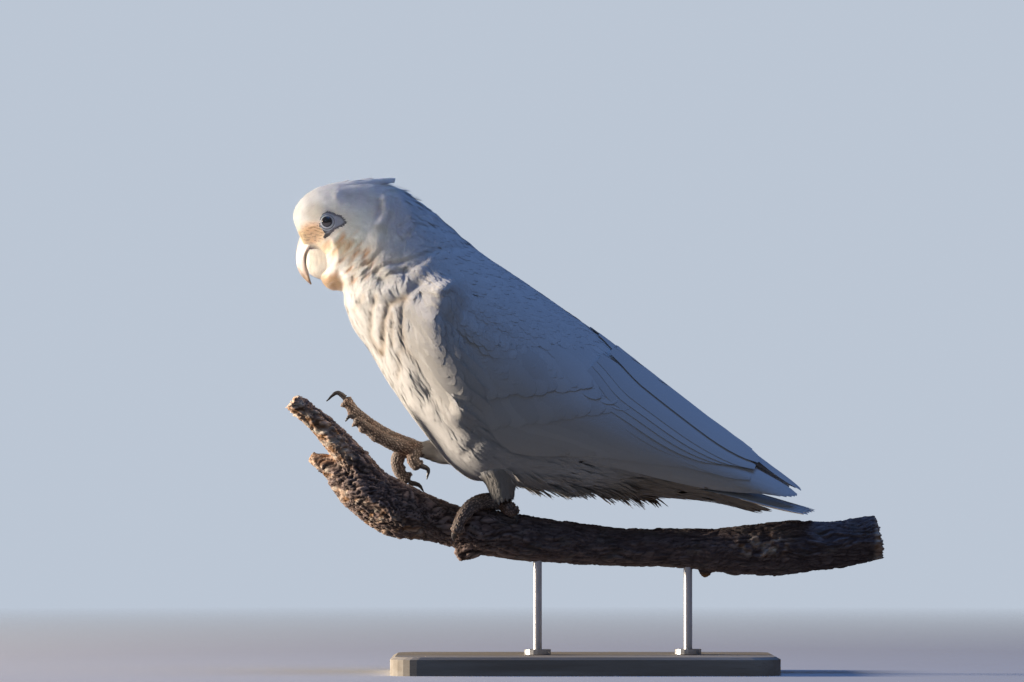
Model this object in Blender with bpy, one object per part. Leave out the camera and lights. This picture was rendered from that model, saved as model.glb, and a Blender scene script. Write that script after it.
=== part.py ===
"""A little corella, a small white cockatoo, as a life-size still model on a cut branch and a display stand.

The bird walks towards -X with its left side towards -Y. It stands on its left foot and reaches forward with
its right. The origin is on the floor, under the middle of the whole model, and +Z is up. Sizes in the tables
are millimetres, and every mesh is in metres.
"""

import math

import bmesh
import bpy
import numpy as np

MM = 0.001
GAP = 0.3 * MM  # between pieces that touch
SHARP_ANGLE = math.radians(40.0)

# --- The plumage envelope: one loft from the face to the tip of the tail -------------------------------
# Each section is a flat oval between a point on the back line and a point on the belly line (x, z), with
# its half width, the share of its depth where it is widest, and how sharply its back (roof) and its belly
# (keel) end.
SECTIONS = [
    # back x, z     belly x, z      half  widest roof  keel
    (-170.0, 260.0, -157.0, 233.0, 9.5, 0.50, 0.95, 0.95),  # face, round the root of the bill
    (-174.2, 275.0, -152.0, 229.5, 18.5, 0.45, 0.95, 0.95),  # forehead to chin
    (-165.0, 287.5, -147.5, 228.6, 21.5, 0.44, 0.92, 0.95),
    (-147.0, 292.6, -144.0, 227.5, 23.0, 0.45, 0.90, 0.95),  # crown to throat
    (-114.5, 291.4, -143.6, 220.0, 24.5, 0.48, 0.92, 0.95),  # nape to foreneck
    (-89.5, 275.0, -138.5, 206.5, 31.0, 0.50, 0.98, 0.95),
    (-64.5, 253.6, -128.0, 192.0, 39.5, 0.50, 1.05, 0.92),  # shoulders
    (-32.0, 231.5, -116.0, 171.5, 46.0, 0.50, 1.20, 0.92),
    (3.0, 206.8, -97.5, 145.8, 47.0, 0.49, 1.40, 0.92),  # deepest part of the breast
    (28.0, 187.0, -78.0, 124.0, 44.0, 0.48, 1.55, 0.95),
    (50.0, 169.5, -50.0, 114.0, 38.5, 0.47, 1.65, 1.00),  # thighs
    (80.0, 146.6, 8.0, 107.0, 30.0, 0.48, 1.60, 1.05),  # vent
    (110.0, 124.6, 70.0, 103.0, 23.0, 0.50, 1.40, 1.10),
    (128.5, 110.2, 108.0, 94.8, 22.0, 0.52, 1.20, 1.10),
    (139.6, 97.0, 137.5, 92.9, 23.5, 0.55, 1.10, 1.10),  # tip of the tail
]
FACE, NECK_START, TRUNK_START, TAIL_START, TAIL_END = 0.0, 3.9, 5.6, 10.6, 14.0
RING_SIDES = 22

# --- Wings: shells on the envelope, from the wrist to the wing tip -------------------------------------
WRIST, WING_TIP = 5.75, 13.25  # places along the envelope
WING_SLANT, WING_ROUND = 1.6, 0.25  # how far the front edge leans back and the tip is rounded
WING_PARTS = {"coverts": (0.0, 0.478, 11), "flight": (0.481, 1.0, 11)}  # shares of the length, and rows
RIDGE_OVERLAP = [18.0] * 3 + [19.0, 14.0, 9.0, 7.5, 6.5, 6.0]  # how far the right wing crosses the middle
RIDGE_GAP = 0.02  # the left one begins this angle on
WING_LOWER_EDGE = [0.62, 0.77, 0.80, 0.78, 0.68, 0.63, 0.60, 0.50, 0.42]  # share of the envelope's depth
WING_THICK, WING_EDGE, WING_COLUMNS = 4.6 * MM, 1.1 * MM, 8

# --- Head ----------------------------------------------------------------------------------------------
EYE_PLACE, EYE_ANGLE = 2.42, math.radians(76.5)  # on the envelope
EYE_RADIUS, EYE_STANDS_OUT = 4.9 * MM, 1.7 * MM
CREST_FROM, CREST_TO = 2.4, 4.02
CREST_HALF_WIDTH, CREST_THICK, CREST_TIP_RISE = 6.5 * MM, 2.8 * MM, 1.4 * MM
GAPE = (-163.6, 246.8, 9.6, 11.0)  # the opening for the bill: centre x, z and half sizes
BILL_SIDES = 12
UPPER_BILL = [  # from its tip back to its root, in the same terms as the sections
    (-163.9, 232.4, -163.3, 232.8, 0.5, 0.50, 1.0, 1.0),
    (-166.6, 234.8, -164.4, 236.0, 1.5, 0.50, 0.9, 0.9),
    (-169.6, 238.4, -165.4, 240.0, 2.9, 0.55, 0.9, 0.8),
    (-171.9, 243.8, -166.8, 245.2, 4.6, 0.55, 0.9, 0.8),
    (-172.4, 250.5, -166.0, 250.8, 6.6, 0.55, 0.9, 0.8),
    (-171.2, 257.5, -161.0, 256.5, 8.2, 0.55, 0.9, 0.8),
    (-169.0, 264.0, -155.0, 259.5, 8.6, 0.55, 0.9, 0.9),
]
LOWER_BILL = [
    (-167.3, 247.5, -166.9, 242.5, 3.2, 0.50, 0.9, 0.9),
    (-166.2, 251.5, -164.4, 239.0, 6.8, 0.45, 0.8, 0.9),
    (-162.6, 254.2, -160.2, 236.4, 8.6, 0.45, 0.8, 0.9),
    (-157.6, 255.0, -155.2, 235.0, 9.4, 0.45, 0.8, 0.9),
    (-152.0, 254.0, -150.0, 235.0, 9.2, 0.45, 0.8, 0.9),
]

# --- Branch: centre x, y, z and radius -----------------------------------------------------------------
BRANCH = [
    (-150.5, -3.0, 119.0, 6.5),
    (-133.0, -3.0, 109.5, 14.5),
    (-111.0, -4.0, 98.0, 16.6),
    (-86.5, -6.0, 90.6, 12.6),
    (-62.0, -8.0, 84.6, 13.6),
    (-38.0, -8.0, 81.2, 13.8),
    (-2.0, -5.0, 76.8, 12.4),
    (34.0, -2.0, 75.0, 11.5),
    (68.0, 0.0, 74.0, 12.4),
    (96.0, 0.0, 72.8, 15.0),
    (120.0, 0.0, 75.0, 16.4),
    (144.0, 0.0, 76.2, 14.6),
    (176.0, 0.0, 81.2, 13.4),
]
LONG_STUB = [
    (-122.0, -3.0, 104.0, 13.0),
    (-139.0, -5.0, 128.0, 9.4),
    (-157.0, -8.0, 148.0, 7.2),
    (-173.8, -10.0, 162.4, 5.5),
]
SHORT_STUB = [(-136.0, -2.0, 112.0, 10.0), (-150.0, 0.0, 122.5, 7.6), (-164.0, 2.0, 129.5, 3.6)]
KNOTS = [
    [(-65.0, -8.0, 77.0, 8.0), (-76.0, -9.5, 69.0, 3.8)],
    [(70.0, 0.0, 66.0, 4.5), (73.5, 1.0, 57.5, 2.7)],
]
BRANCH_SIDES = 12
BARK_SWELL = 0.05  # share of the radius

# --- Legs and feet -------------------------------------------------------------------------------------
THIGH_LEFT = [
    (-42.0, -19.0, 152.0, 20.0),
    (-46.5, -19.5, 133.0, 15.5),
    (-48.6, -17.6, 117.5, 10.4),
    (-48.8, -15.6, 107.2, 7.8),
]
THIGH_RIGHT = [
    (-60.0, 18.0, 146.0, 18.0),
    (-74.0, 19.0, 136.0, 13.0),
    (-87.5, 19.2, 133.0, 8.6),
    (-96.5, 18.8, 133.4, 6.8),
]
SHANK_LEFT = [(-49.3, -16.0, 110.5, 3.7), (-49.6, -14.6, 105.6, 3.9), (-50.8, -9.6, 101.9, 4.1)]
SHANK_RIGHT = [(-91.0, 19.2, 133.2, 4.2), (-97.0, 18.8, 133.6, 4.6), (-103.0, 18.2, 134.4, 5.0)]
PALM_LEFT, PALM_RIGHT = (-51.6, -7.0, 102.4, 4.3), (-104.0, 18.0, 134.6, 5.6)
# A toe on the branch goes by the place along the branch (x), the angle round it from the top (towards -Y
# is negative) and its own radius. A raised toe goes by x, y, z and radius. Each claw carries on in the same
# terms.
TOES_LEFT = {
    "1": (
        [(-50.5, 10.0, 3.4), (-46.5, 26.0, 3.2), (-44.0, 42.0, 2.6)],
        [(-43.4, 45.5, 1.7), (-42.0, 60.0, 1.2), (-42.4, 75.0, 0.35)],
    ),
    "2": (
        [(-51.0, 6.0, 3.7), (-60.0, 26.0, 3.5), (-66.0, 50.0, 3.1), (-69.0, 74.0, 2.6)],
        [(-69.4, 77.0, 1.7), (-71.5, 92.0, 1.2), (-72.5, 106.0, 0.35)],
    ),
    "3": (
        [
            (-51.0, -8.0, 4.4),
            (-61.0, -12.0, 4.6),
            (-69.0, -34.0, 4.2),
            (-73.5, -62.0, 3.8),
            (-76.0, -98.0, 3.0),
        ],
        [(-76.2, -102.5, 1.9), (-76.4, -115.0, 1.4), (-75.4, -130.0, 0.35)],
    ),
    "4": (
        [(-51.5, -16.0, 3.5), (-47.0, -32.0, 3.3), (-43.8, -39.0, 2.7)],
        [(-43.2, -40.5, 1.7), (-41.4, -48.0, 1.3), (-41.6, -60.0, 0.35)],
    ),
}
TOES_RIGHT = {
    "1": (
        [(-101.5, 17.0, 133.5, 4.2), (-103.0, 14.5, 127.5, 3.4), (-100.6, 13.5, 123.6, 2.9)],
        [(-98.2, 13.2, 124.2, 1.8), (-93.6, 13.0, 121.6, 1.3), (-94.4, 12.8, 115.8, 0.35)],
    ),
    "2": (
        [
            (-104.0, 16.5, 134.0, 4.4),
            (-114.0, 14.5, 137.0, 4.1),
            (-123.5, 13.0, 142.0, 3.7),
            (-132.0, 12.4, 147.6, 3.2),
            (-136.4, 12.2, 151.6, 2.6),
        ],
        [(-137.6, 12.2, 153.0, 1.6), (-140.8, 12.2, 153.6, 1.2), (-143.4, 12.2, 150.6, 0.35)],
    ),
    "3": (
        [
            (-104.0, 19.5, 136.0, 4.4),
            (-116.0, 21.5, 141.0, 4.1),
            (-127.5, 22.5, 148.0, 3.7),
            (-138.0, 23.0, 156.4, 3.4),
            (-142.6, 23.0, 163.4, 2.8),
        ],
        [(-143.8, 23.0, 165.0, 1.8), (-149.0, 23.0, 168.0, 1.3), (-155.2, 23.0, 163.0, 0.35)],
    ),
    "4": (
        [
            (-106.5, 20.0, 134.5, 4.2),
            (-112.0, 20.5, 129.0, 3.8),
            (-111.5, 20.5, 121.5, 3.5),
            (-107.0, 20.0, 115.6, 2.9),
        ],
        [(-105.4, 19.9, 114.0, 1.8), (-99.4, 19.6, 112.4, 1.3), (-96.4, 19.4, 108.4, 0.35)],
    ),
}
LIMB_SIDES, CLAW_SIDES = 8, 7

# --- Stand ---------------------------------------------------------------------------------------------
BASE_LENGTH, BASE_DEPTH, BASE_THICK, BASE_CORNER = 230.0 * MM, 124.0 * MM, 11.0 * MM, 16.0 * MM
BASE_RIM, CORNER_STEPS = 1.5 * MM, 6
ROD_PLACES = {"stand_rod_front": -28.0 * MM, "stand_rod_rear": 62.0 * MM}
ROD_SIDES = 20
ROD_RADIUS, ROD_INTO_BRANCH, COLLAR_RADIUS, COLLAR_HEIGHT = 2.6 * MM, 6.0 * MM, 8.0 * MM, 3.0 * MM

# --- Colours: base colour, roughness, metallic ---------------------------------------------------------
MATERIALS = {
    "plumage": ((0.86, 0.84, 0.80), 0.75, 0.0),
    "bill_horn": ((0.74, 0.68, 0.60), 0.45, 0.0),
    "eye": ((0.02, 0.018, 0.018), 0.08, 0.0),
    "foot_scale": ((0.23, 0.20, 0.17), 0.6, 0.0),
    "claw_horn": ((0.06, 0.055, 0.055), 0.35, 0.0),
    "bark": ((0.11, 0.08, 0.065), 0.9, 0.0),
    "stand_wood": ((0.62, 0.60, 0.57), 0.5, 0.0),
    "stand_metal": ((0.60, 0.60, 0.61), 0.3, 1.0),
}


# === Smooth tables =====================================================================================
def smooth(rows, place):
    """The rows of a table as one smooth curve (Catmull-Rom), read at these places, one unit to a row."""
    rows = np.asarray(rows, float)
    place = np.clip(np.asarray(place, float), 0.0, len(rows) - 1.0)
    start = np.minimum(place.astype(int), len(rows) - 2)
    t = (place - start)[..., None]
    ends = np.vstack([2 * rows[0] - rows[1], rows, 2 * rows[-1] - rows[-2]])
    a, b, c, d = (ends[start + k] for k in range(4))
    return 0.5 * (2 * b + (c - a) * t + (2 * a - 5 * b + 4 * c - d) * t**2 + (3 * b - a - 3 * c + d) * t**3)


def oval_points(table, place, angle):
    """Points on a loft of flat ovals. The angle is 0 on the back line, and pi or -pi on the belly line."""
    place, angle = np.broadcast_arrays(np.asarray(place, float), np.asarray(angle, float))
    row = smooth(table, place)
    share = ((1 - np.cos(angle)) / 2) ** (np.log(row[..., 5]) / math.log(0.5))
    power = np.where(np.abs(angle) < math.pi / 2, row[..., 6], row[..., 7])
    x = row[..., 0] + (row[..., 2] - row[..., 0]) * share
    z = row[..., 1] + (row[..., 3] - row[..., 1]) * share
    y = row[..., 4] * np.sign(np.sin(angle)) * np.abs(np.sin(angle)) ** power
    return np.stack([x, y, z], axis=-1) * MM


def oval_normals(table, place, angle):
    """Outward unit normals of the same loft, from small steps either way."""
    step = 1e-3
    along = oval_points(table, place + step, angle) - oval_points(table, place - step, angle)
    across = oval_points(table, place, angle + step) - oval_points(table, place, angle - step)
    normal = np.cross(along, across)
    return normal / np.linalg.norm(normal, axis=-1, keepdims=True)


def angle_at_depth(place, share):
    """The angle on the envelope at a share of its depth."""
    widest = smooth(SECTIONS, place)[..., 5]
    return np.arccos(1 - 2 * np.asarray(share) ** (math.log(0.5) / np.log(widest)))


def angle_at_side(place, distance):
    """The angle on the envelope's back where it is this far from the middle."""
    row = smooth(SECTIONS, place)
    return np.arcsin(np.clip(distance / MM / row[..., 4], 0.0, 1.0) ** (1 / row[..., 6]))


def ease(low, high, value):
    """0 below low, 1 above high, and smooth between."""
    t = np.clip((np.asarray(value, float) - low) / (high - low), 0.0, 1.0)
    return t * t * (3 - 2 * t)


# === Meshes and objects ================================================================================
def clear_scene():
    """Nothing is left of the startup scene."""
    for obj in list(bpy.data.objects):
        bpy.data.objects.remove(obj, do_unlink=True)


def material(name):
    """One plain material for each finish."""
    found = bpy.data.materials.get(name)
    if found:
        return found
    colour, roughness, metallic = MATERIALS[name]
    made = bpy.data.materials.new(name)
    made.use_nodes = True
    shader = made.node_tree.nodes["Principled BSDF"]
    shader.inputs["Base Color"].default_value = (*colour, 1.0)
    shader.inputs["Roughness"].default_value = roughness
    shader.inputs["Metallic"].default_value = metallic
    return made


def add_object(name, points, faces, finish):
    """A named, smooth-shaded object whose faces point outwards."""
    mesh = bpy.data.meshes.new(name)
    mesh.from_pydata([tuple(p) for p in points], [], [tuple(f) for f in faces])
    tidy = bmesh.new()
    tidy.from_mesh(mesh)
    bmesh.ops.recalc_face_normals(tidy, faces=tidy.faces)
    bmesh.ops.triangulate(tidy, faces=tidy.faces)
    tidy.to_mesh(mesh)
    tidy.free()
    mesh.materials.append(material(finish))
    mesh.shade_smooth()
    mesh.set_sharp_from_angle(angle=SHARP_ANGLE)
    obj = bpy.data.objects.new(name, mesh)
    bpy.context.scene.collection.objects.link(obj)
    return obj


def ring_solid(name, rings, finish):
    """A closed solid through these rings, with a flat face at each end."""
    rings = np.asarray(rings)
    count, sides = rings.shape[:2]
    faces = []
    for i in range(count - 1):
        for j in range(sides):
            k = (j + 1) % sides
            faces.append((i * sides + j, i * sides + k, (i + 1) * sides + k, (i + 1) * sides + j))
    faces.append(tuple(range(sides)))
    faces.append(tuple((count - 1) * sides + j for j in reversed(range(sides))))
    return add_object(name, rings.reshape(-1, 3), faces, finish)


def shell_solid(name, outer, inner, finish):
    """A closed plate between two grids of points of the same size."""
    rows, columns = outer.shape[:2]
    top = np.arange(rows * columns).reshape(rows, columns)
    under = top + rows * columns
    faces = []
    for i in range(rows - 1):
        for j in range(columns - 1):
            for grid in (top, under):
                faces.append((grid[i, j], grid[i, j + 1], grid[i + 1, j + 1]))
                faces.append((grid[i, j], grid[i + 1, j + 1], grid[i + 1, j]))
    border = [*top[0, :], *top[1:, -1], *top[-1, -2::-1], *top[-2:0:-1, 0]]
    for a, b in zip(border, border[1:] + border[:1]):
        faces.append((a, a + rows * columns, b + rows * columns, b))
    return add_object(name, np.concatenate([outer.reshape(-1, 3), inner.reshape(-1, 3)]), faces, finish)


def loft(name, table, start, end, count, sides, finish, grow=0.0):
    """A piece of a loft of ovals, grown outwards by a distance when it serves as a cutter."""
    angles = np.linspace(0, 2 * math.pi, sides, endpoint=False) + math.pi / sides
    places = np.linspace(start, end, count)[:, None]
    rings = oval_points(table, places, wrapped(angles)[None, :])
    if grow:
        inner = np.clip(places, 0.02, len(table) - 1.02)
        rings = rings + grow * oval_normals(table, inner, wrapped(angles)[None, :])
        for end_ring, beside in ((0, 1), (-1, -2)):
            step = rings[end_ring].mean(axis=0) - rings[beside].mean(axis=0)
            rings[end_ring] += 2 * grow * step / np.linalg.norm(step)
    return ring_solid(name, rings, finish)


def wrapped(angles):
    """Angles brought to between -pi and pi."""
    return (angles + math.pi) % (2 * math.pi) - math.pi


def tube(name, path, sides, finish, samples=4, swell=None, grow=0.0):
    """A closed limb along a smooth path of (x, y, z, radius), in millimetres."""
    count = (len(path) - 1) * samples + 1
    line = smooth(path, np.linspace(0, len(path) - 1, count))
    centres, radii = line[:, :3] * MM, line[:, 3] * MM + grow
    ahead = np.gradient(centres, axis=0)
    ahead /= np.linalg.norm(ahead, axis=1, keepdims=True)
    side = np.cross(ahead[0], (0.0, 1.0, 0.0))
    rings = []
    for i in range(count):
        side = side - ahead[i] * (side @ ahead[i])
        side /= np.linalg.norm(side)
        up = np.cross(ahead[i], side)
        angles = np.arange(sides) * 2 * math.pi / sides
        radius = radii[i] * (1 + (swell(i / samples, angles) if swell else 0.0 * angles))
        rings.append(
            centres[i] + (radius * np.cos(angles))[:, None] * side + (radius * np.sin(angles))[:, None] * up
        )
    rings[0] = rings[0] - grow * ahead[0]
    rings[-1] = rings[-1] + grow * ahead[-1]
    return ring_solid(name, rings, finish)


def boolean(target, tool, operation):
    """Joins a tool to the target or cuts it away, then removes the tool."""
    change = target.modifiers.new(operation.lower(), "BOOLEAN")
    change.operation = operation
    change.object = tool
    bpy.context.view_layer.update()
    graph = bpy.context.evaluated_depsgraph_get()
    result = bpy.data.meshes.new_from_object(target.evaluated_get(graph))
    target.modifiers.remove(change)
    target.data = result
    bpy.data.objects.remove(tool, do_unlink=True)


# === The bird ==========================================================================================
def wing_table(values, place):
    """A wing's value at a place on the envelope, from a list with one for each section from the wrist on."""
    return smooth(np.array(values)[:, None], place - WRIST)[..., 0]


def wing_grid(side, first, last, rows, columns):
    """A wing's places and angles on the envelope, in rows towards its tip and columns to its lower edge."""
    share = np.linspace(first, last, rows)[:, None]
    across = np.linspace(0.0, 1.0, columns)[None, :]
    front = WRIST + WING_SLANT * (1 - across) ** 1.5
    tip = WING_TIP - WING_ROUND * (2 * across - 1) ** 2
    place = front + (tip - front) * share
    ridge = angle_at_side(place, wing_table(RIDGE_OVERLAP, place) * MM)
    top = ridge + RIDGE_GAP if side < 0 else -ridge
    lower = angle_at_depth(place, wing_table(WING_LOWER_EDGE, place))
    angle = top + (lower - top) * across
    swell = np.sin(math.pi * across) ** 0.6 * ease(-0.1, 0.12, share) * (1 - 0.75 * ease(0.5, 1.0, share))
    thick = WING_EDGE + (WING_THICK - WING_EDGE) * swell
    return place, side * angle, thick


def pushed_out(points, normal, distance):
    """A grid whose border is moved outwards along the surface, square to the border."""
    grown = points.copy()
    every = slice(None)
    borders = [((0, every), (1, every)), ((-1, every), (-2, every))]
    borders += [(edge[::-1], beside[::-1]) for edge, beside in borders]
    for edge, beside in borders:
        out = np.cross(normal[edge], np.gradient(points[edge], axis=0))
        out *= np.sign(np.sum(out * (points[edge] - points[beside]), axis=-1, keepdims=True))
        grown[edge] += distance * out / np.linalg.norm(out, axis=-1, keepdims=True)
    return grown


def wing(name, side, first, last, rows, grow=0.0):
    """A part of one wing. A grown one is the cutter that makes room for it."""
    place, angle, thick = wing_grid(side, first, last, rows, WING_COLUMNS)
    surface = oval_points(SECTIONS, place, angle)
    normal = oval_normals(SECTIONS, place, angle)
    outer, inner = surface, surface - normal * thick[..., None]
    if grow:
        outer = pushed_out(surface + normal * 4 * MM, normal, 3 * grow)
        inner = pushed_out(surface - normal * (thick[..., None] + 1.6 * grow), normal, 3 * grow)
    return shell_solid(name, outer, inner, "plumage")


def body_piece(name, start, end, count):
    """A length of the body, with room cut for both wings."""
    piece = loft(name, SECTIONS, start, end, count, RING_SIDES, "plumage")
    for side in (-1, 1):
        for part in WING_PARTS.values():
            boolean(piece, wing("cutter", side, *part, GAP), "DIFFERENCE")


def eye_centre(side):
    """An eyeball's centre, set into the head so that only a little of it stands out."""
    place, angle = np.array(EYE_PLACE), np.array(side * EYE_ANGLE)
    depth = EYE_RADIUS - EYE_STANDS_OUT
    return oval_points(SECTIONS, place, angle) - depth * oval_normals(SECTIONS, place, angle)


def ball(name, centre, radius, finish):
    """A round ball."""
    rows = np.linspace(0.04, math.pi - 0.04, 8)[:, None]
    turn = np.linspace(0, 2 * math.pi, 12, endpoint=False)[None, :]
    rings = np.stack(
        [np.sin(rows) * np.cos(turn), np.cos(rows) + 0 * turn, np.sin(rows) * np.sin(turn)], axis=-1
    )
    return ring_solid(name, centre + radius * rings, finish)


def build_head():
    """Head, bill, eyes and crest."""
    head = loft("head", SECTIONS, FACE, NECK_START - GAP / (30 * MM), 11, RING_SIDES, "plumage")
    loft("bill_upper", UPPER_BILL, 0, 6, 11, BILL_SIDES, "bill_horn")
    lower = loft("bill_lower", LOWER_BILL, 0, 4, 8, BILL_SIDES, "bill_horn")
    boolean(lower, loft("cutter", UPPER_BILL, 0, 6, 11, BILL_SIDES, "bill_horn", GAP), "DIFFERENCE")
    boolean(head, gape_cutter(), "DIFFERENCE")
    boolean(head, loft("cutter", UPPER_BILL, 0, 6, 11, BILL_SIDES, "bill_horn", GAP), "DIFFERENCE")
    boolean(head, loft("cutter", LOWER_BILL, 0, 4, 8, BILL_SIDES, "bill_horn", GAP), "DIFFERENCE")
    for side, name in ((-1, "left"), (1, "right")):
        ball(f"eye_{name}", eye_centre(side), EYE_RADIUS, "eye")
        boolean(head, ball("cutter", eye_centre(side), EYE_RADIUS + GAP, "eye"), "DIFFERENCE")
    build_crest()


def gape_cutter():
    """An oval bar through the face, which leaves the bill in the open."""
    x, z, half_x, half_z = GAPE
    turn = np.linspace(0, 2 * math.pi, 18, endpoint=False)
    oval = np.column_stack([x + half_x * np.cos(turn), 0 * turn, z + half_z * np.sin(turn)]) * MM
    reach = np.array([0.0, 0.03, 0.0])
    return ring_solid("cutter", [oval - reach, oval + reach], "plumage")


def build_crest():
    """The short crest, folded flat along the crown, with its tip just clear of the nape."""
    share = np.linspace(0.0, 1.0, 9)[:, None]
    across = np.linspace(-1.0, 1.0, 5)[None, :]
    place = CREST_FROM + (CREST_TO - CREST_FROM) * share + 0 * across
    width = CREST_HALF_WIDTH * (0.35 + 0.65 * np.sin(math.pi * share**0.8) ** 0.7)
    angle = angle_at_side(place, width + 0 * across) * across
    base = oval_points(SECTIONS, place, angle)
    normal = oval_normals(SECTIONS, place, angle)
    lift = 2 * GAP + CREST_TIP_RISE * ease(0.45, 1.0, share)
    thick = 0.6 * MM + CREST_THICK * np.sin(math.pi * share**0.7) ** 0.8 * (1 - 0.8 * across**2)
    under = base + normal * lift[..., None]
    shell_solid("crest", under + normal * thick[..., None], under, "plumage")


def build_body():
    """Neck, trunk, tail and both wings, each wing in two lengths."""
    half = GAP / (30 * MM) / 2
    body_piece("neck", NECK_START, TRUNK_START - half, 6)
    body_piece("trunk", TRUNK_START + half, TAIL_START - half, 11)
    body_piece("tail", TAIL_START + half, TAIL_END, 9)
    for side, name in ((-1, "left"), (1, "right")):
        for part, span in WING_PARTS.items():
            wing(f"wing_{name}_{part}", side, *span)


def build_thigh(name, path, shank, palm):
    """A feathered thigh, cut clear of the body and the wings, with the shank coming out of it."""
    thigh = tube(name, path, LIMB_SIDES + 2, "plumage")
    boolean(thigh, loft("cutter", SECTIONS, 5.0, 12.0, 29, RING_SIDES, "plumage", GAP), "DIFFERENCE")
    boolean(thigh, tube("cutter", shank, LIMB_SIDES, "plumage", grow=2 * GAP), "DIFFERENCE")
    boolean(thigh, palm_ball("cutter", palm, 2 * GAP), "DIFFERENCE")


# === Feet ==============================================================================================
def branch_centre(x):
    """The branch's centre line and radius where it crosses this x, in millimetres."""
    table = np.array(BRANCH)
    places = np.linspace(0, len(BRANCH) - 1, 400)
    line = smooth(table, places)
    return np.array([np.interp(x, line[:, 0], line[:, k]) for k in range(4)])


def on_branch(x, turn, radius):
    """A point of a toe's path: its centre lies its own radius off the bark, the turn given in degrees."""
    centre = branch_centre(x)
    slope = branch_centre(x + 1)[2] - branch_centre(x - 1)[2]
    off = centre[3] * (1 + BARK_SWELL) + radius + GAP / MM
    a = math.radians(turn)
    up = np.array([-slope / 2, 0.0, 1.0])
    up /= np.linalg.norm(up)
    return (*(centre[:3] + off * (math.cos(a) * up + math.sin(a) * np.array([0.0, 1.0, 0.0]))), radius)


def foot_paths(toes, gripping):
    """Each toe's number, path and claw path, as x, y, z and radius."""
    for number, (toe, claw) in toes.items():
        if gripping:
            toe, claw = ([on_branch(*point) for point in points] for points in (toe, claw))
        yield number, toe, claw


def palm_ball(name, palm, grow=0.0):
    """The round middle of a foot."""
    return ball(name, np.array(palm[:3]) * MM, palm[3] * MM + grow, "foot_scale")


def build_foot(side, shank, palm, toes, gripping):
    """A scaly shank with its palm and four toes in one piece, and the four claws."""
    foot = tube(f"foot_{side}", shank, LIMB_SIDES, "foot_scale")
    boolean(foot, palm_ball("palm", palm), "UNION")
    for number, toe, claw in foot_paths(toes, gripping):
        boolean(foot, tube("toe", toe, LIMB_SIDES, "foot_scale", 2), "UNION")
        tube(f"claw_{side}_{number}", claw, CLAW_SIDES, "claw_horn", 2)


# === Perch and stand ===================================================================================
def bark_swell(place, angles):
    """Slow swellings of the branch, as a share of its radius."""
    return BARK_SWELL * np.sin(2.3 * place + 2 * angles) * np.cos(1.7 * place - 3 * angles)


def build_branch():
    """The cut branch with its broken fork and two knots, bored for the rods."""
    branch = tube("perch_branch", BRANCH, BRANCH_SIDES, "bark", 2, bark_swell)
    boolean(branch, tube("stub", LONG_STUB, 10, "bark", 2), "UNION")
    boolean(branch, tube("stub", SHORT_STUB, 10, "bark", 2), "UNION")
    for root, tip in KNOTS:
        boolean(branch, tube("knot", [root, tip], 9, "bark", 2), "UNION")
    for place in ROD_PLACES.values():
        boolean(branch, round_rod("bore", place, 0.02, rod_top(place) + GAP, ROD_RADIUS + GAP), "DIFFERENCE")


def rod_top(x):
    """How high a rod reaches, a little way into the branch."""
    centre = branch_centre(x / MM)
    return (centre[2] - centre[3]) * MM + ROD_INTO_BRANCH


def round_rod(name, x, low, high, radius):
    """An upright rod under the branch's middle."""
    y = branch_centre(x / MM)[1]
    ends = [(x / MM, y, z / MM, radius / MM) for z in (low, high)]
    return tube(name, ends, ROD_SIDES, "stand_metal", 1)


def build_rod(name, x):
    """A steel rod with its collar, standing on the base."""
    foot = BASE_THICK + GAP
    rod = round_rod(name, x, foot + COLLAR_HEIGHT / 2, rod_top(x), ROD_RADIUS)
    boolean(rod, round_rod("collar", x, foot, foot + COLLAR_HEIGHT, COLLAR_RADIUS), "UNION")


def build_base():
    """A plain flat base with round corners and a softened rim."""
    outline = []
    for turn, (sx, sy) in enumerate(((1, 1), (-1, 1), (-1, -1), (1, -1))):
        for step in range(CORNER_STEPS + 1):
            a = math.pi / 2 * (turn + step / CORNER_STEPS)
            outline.append(
                (
                    sx * (BASE_LENGTH / 2 - BASE_CORNER) + BASE_CORNER * math.cos(a),
                    sy * (BASE_DEPTH / 2 - BASE_CORNER) + BASE_CORNER * math.sin(a),
                )
            )
    outline = np.array(outline)
    shrink = 1 - BASE_RIM / (BASE_DEPTH / 2)
    rings = [
        np.column_stack([outline, np.full(len(outline), 0.0)]),
        np.column_stack([outline, np.full(len(outline), BASE_THICK - BASE_RIM)]),
        np.column_stack([outline * shrink, np.full(len(outline), BASE_THICK)]),
    ]
    ring_solid("stand_base", rings, "stand_wood")


def build():
    """The whole model."""
    clear_scene()
    build_head()
    build_body()
    build_thigh("thigh_left", THIGH_LEFT, SHANK_LEFT, PALM_LEFT)
    build_thigh("thigh_right", THIGH_RIGHT, SHANK_RIGHT, PALM_RIGHT)
    build_foot("left", SHANK_LEFT, PALM_LEFT, TOES_LEFT, True)
    build_foot("right", SHANK_RIGHT, PALM_RIGHT, TOES_RIGHT, False)
    build_branch()
    for name, x in ROD_PLACES.items():
        build_rod(name, x)
    build_base()


build()
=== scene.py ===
"""A little corella, a small white cockatoo, as a life-size still model walking along a cut branch.

One skin carries the coat, which is laid feather by feather on the same smooth envelope as the solids. The
eyes, the lids, the bill, the claws, the scales of the feet, the branch and the display stand are pieces of
their own. Tables are in millimetres, places along a table go by its rows, and every mesh is in metres.
"""

import logging
import math
from collections.abc import Callable
from dataclasses import dataclass, field
from enum import Enum

import bpy
import numpy as np
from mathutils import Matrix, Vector
from mathutils.kdtree import KDTree


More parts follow.
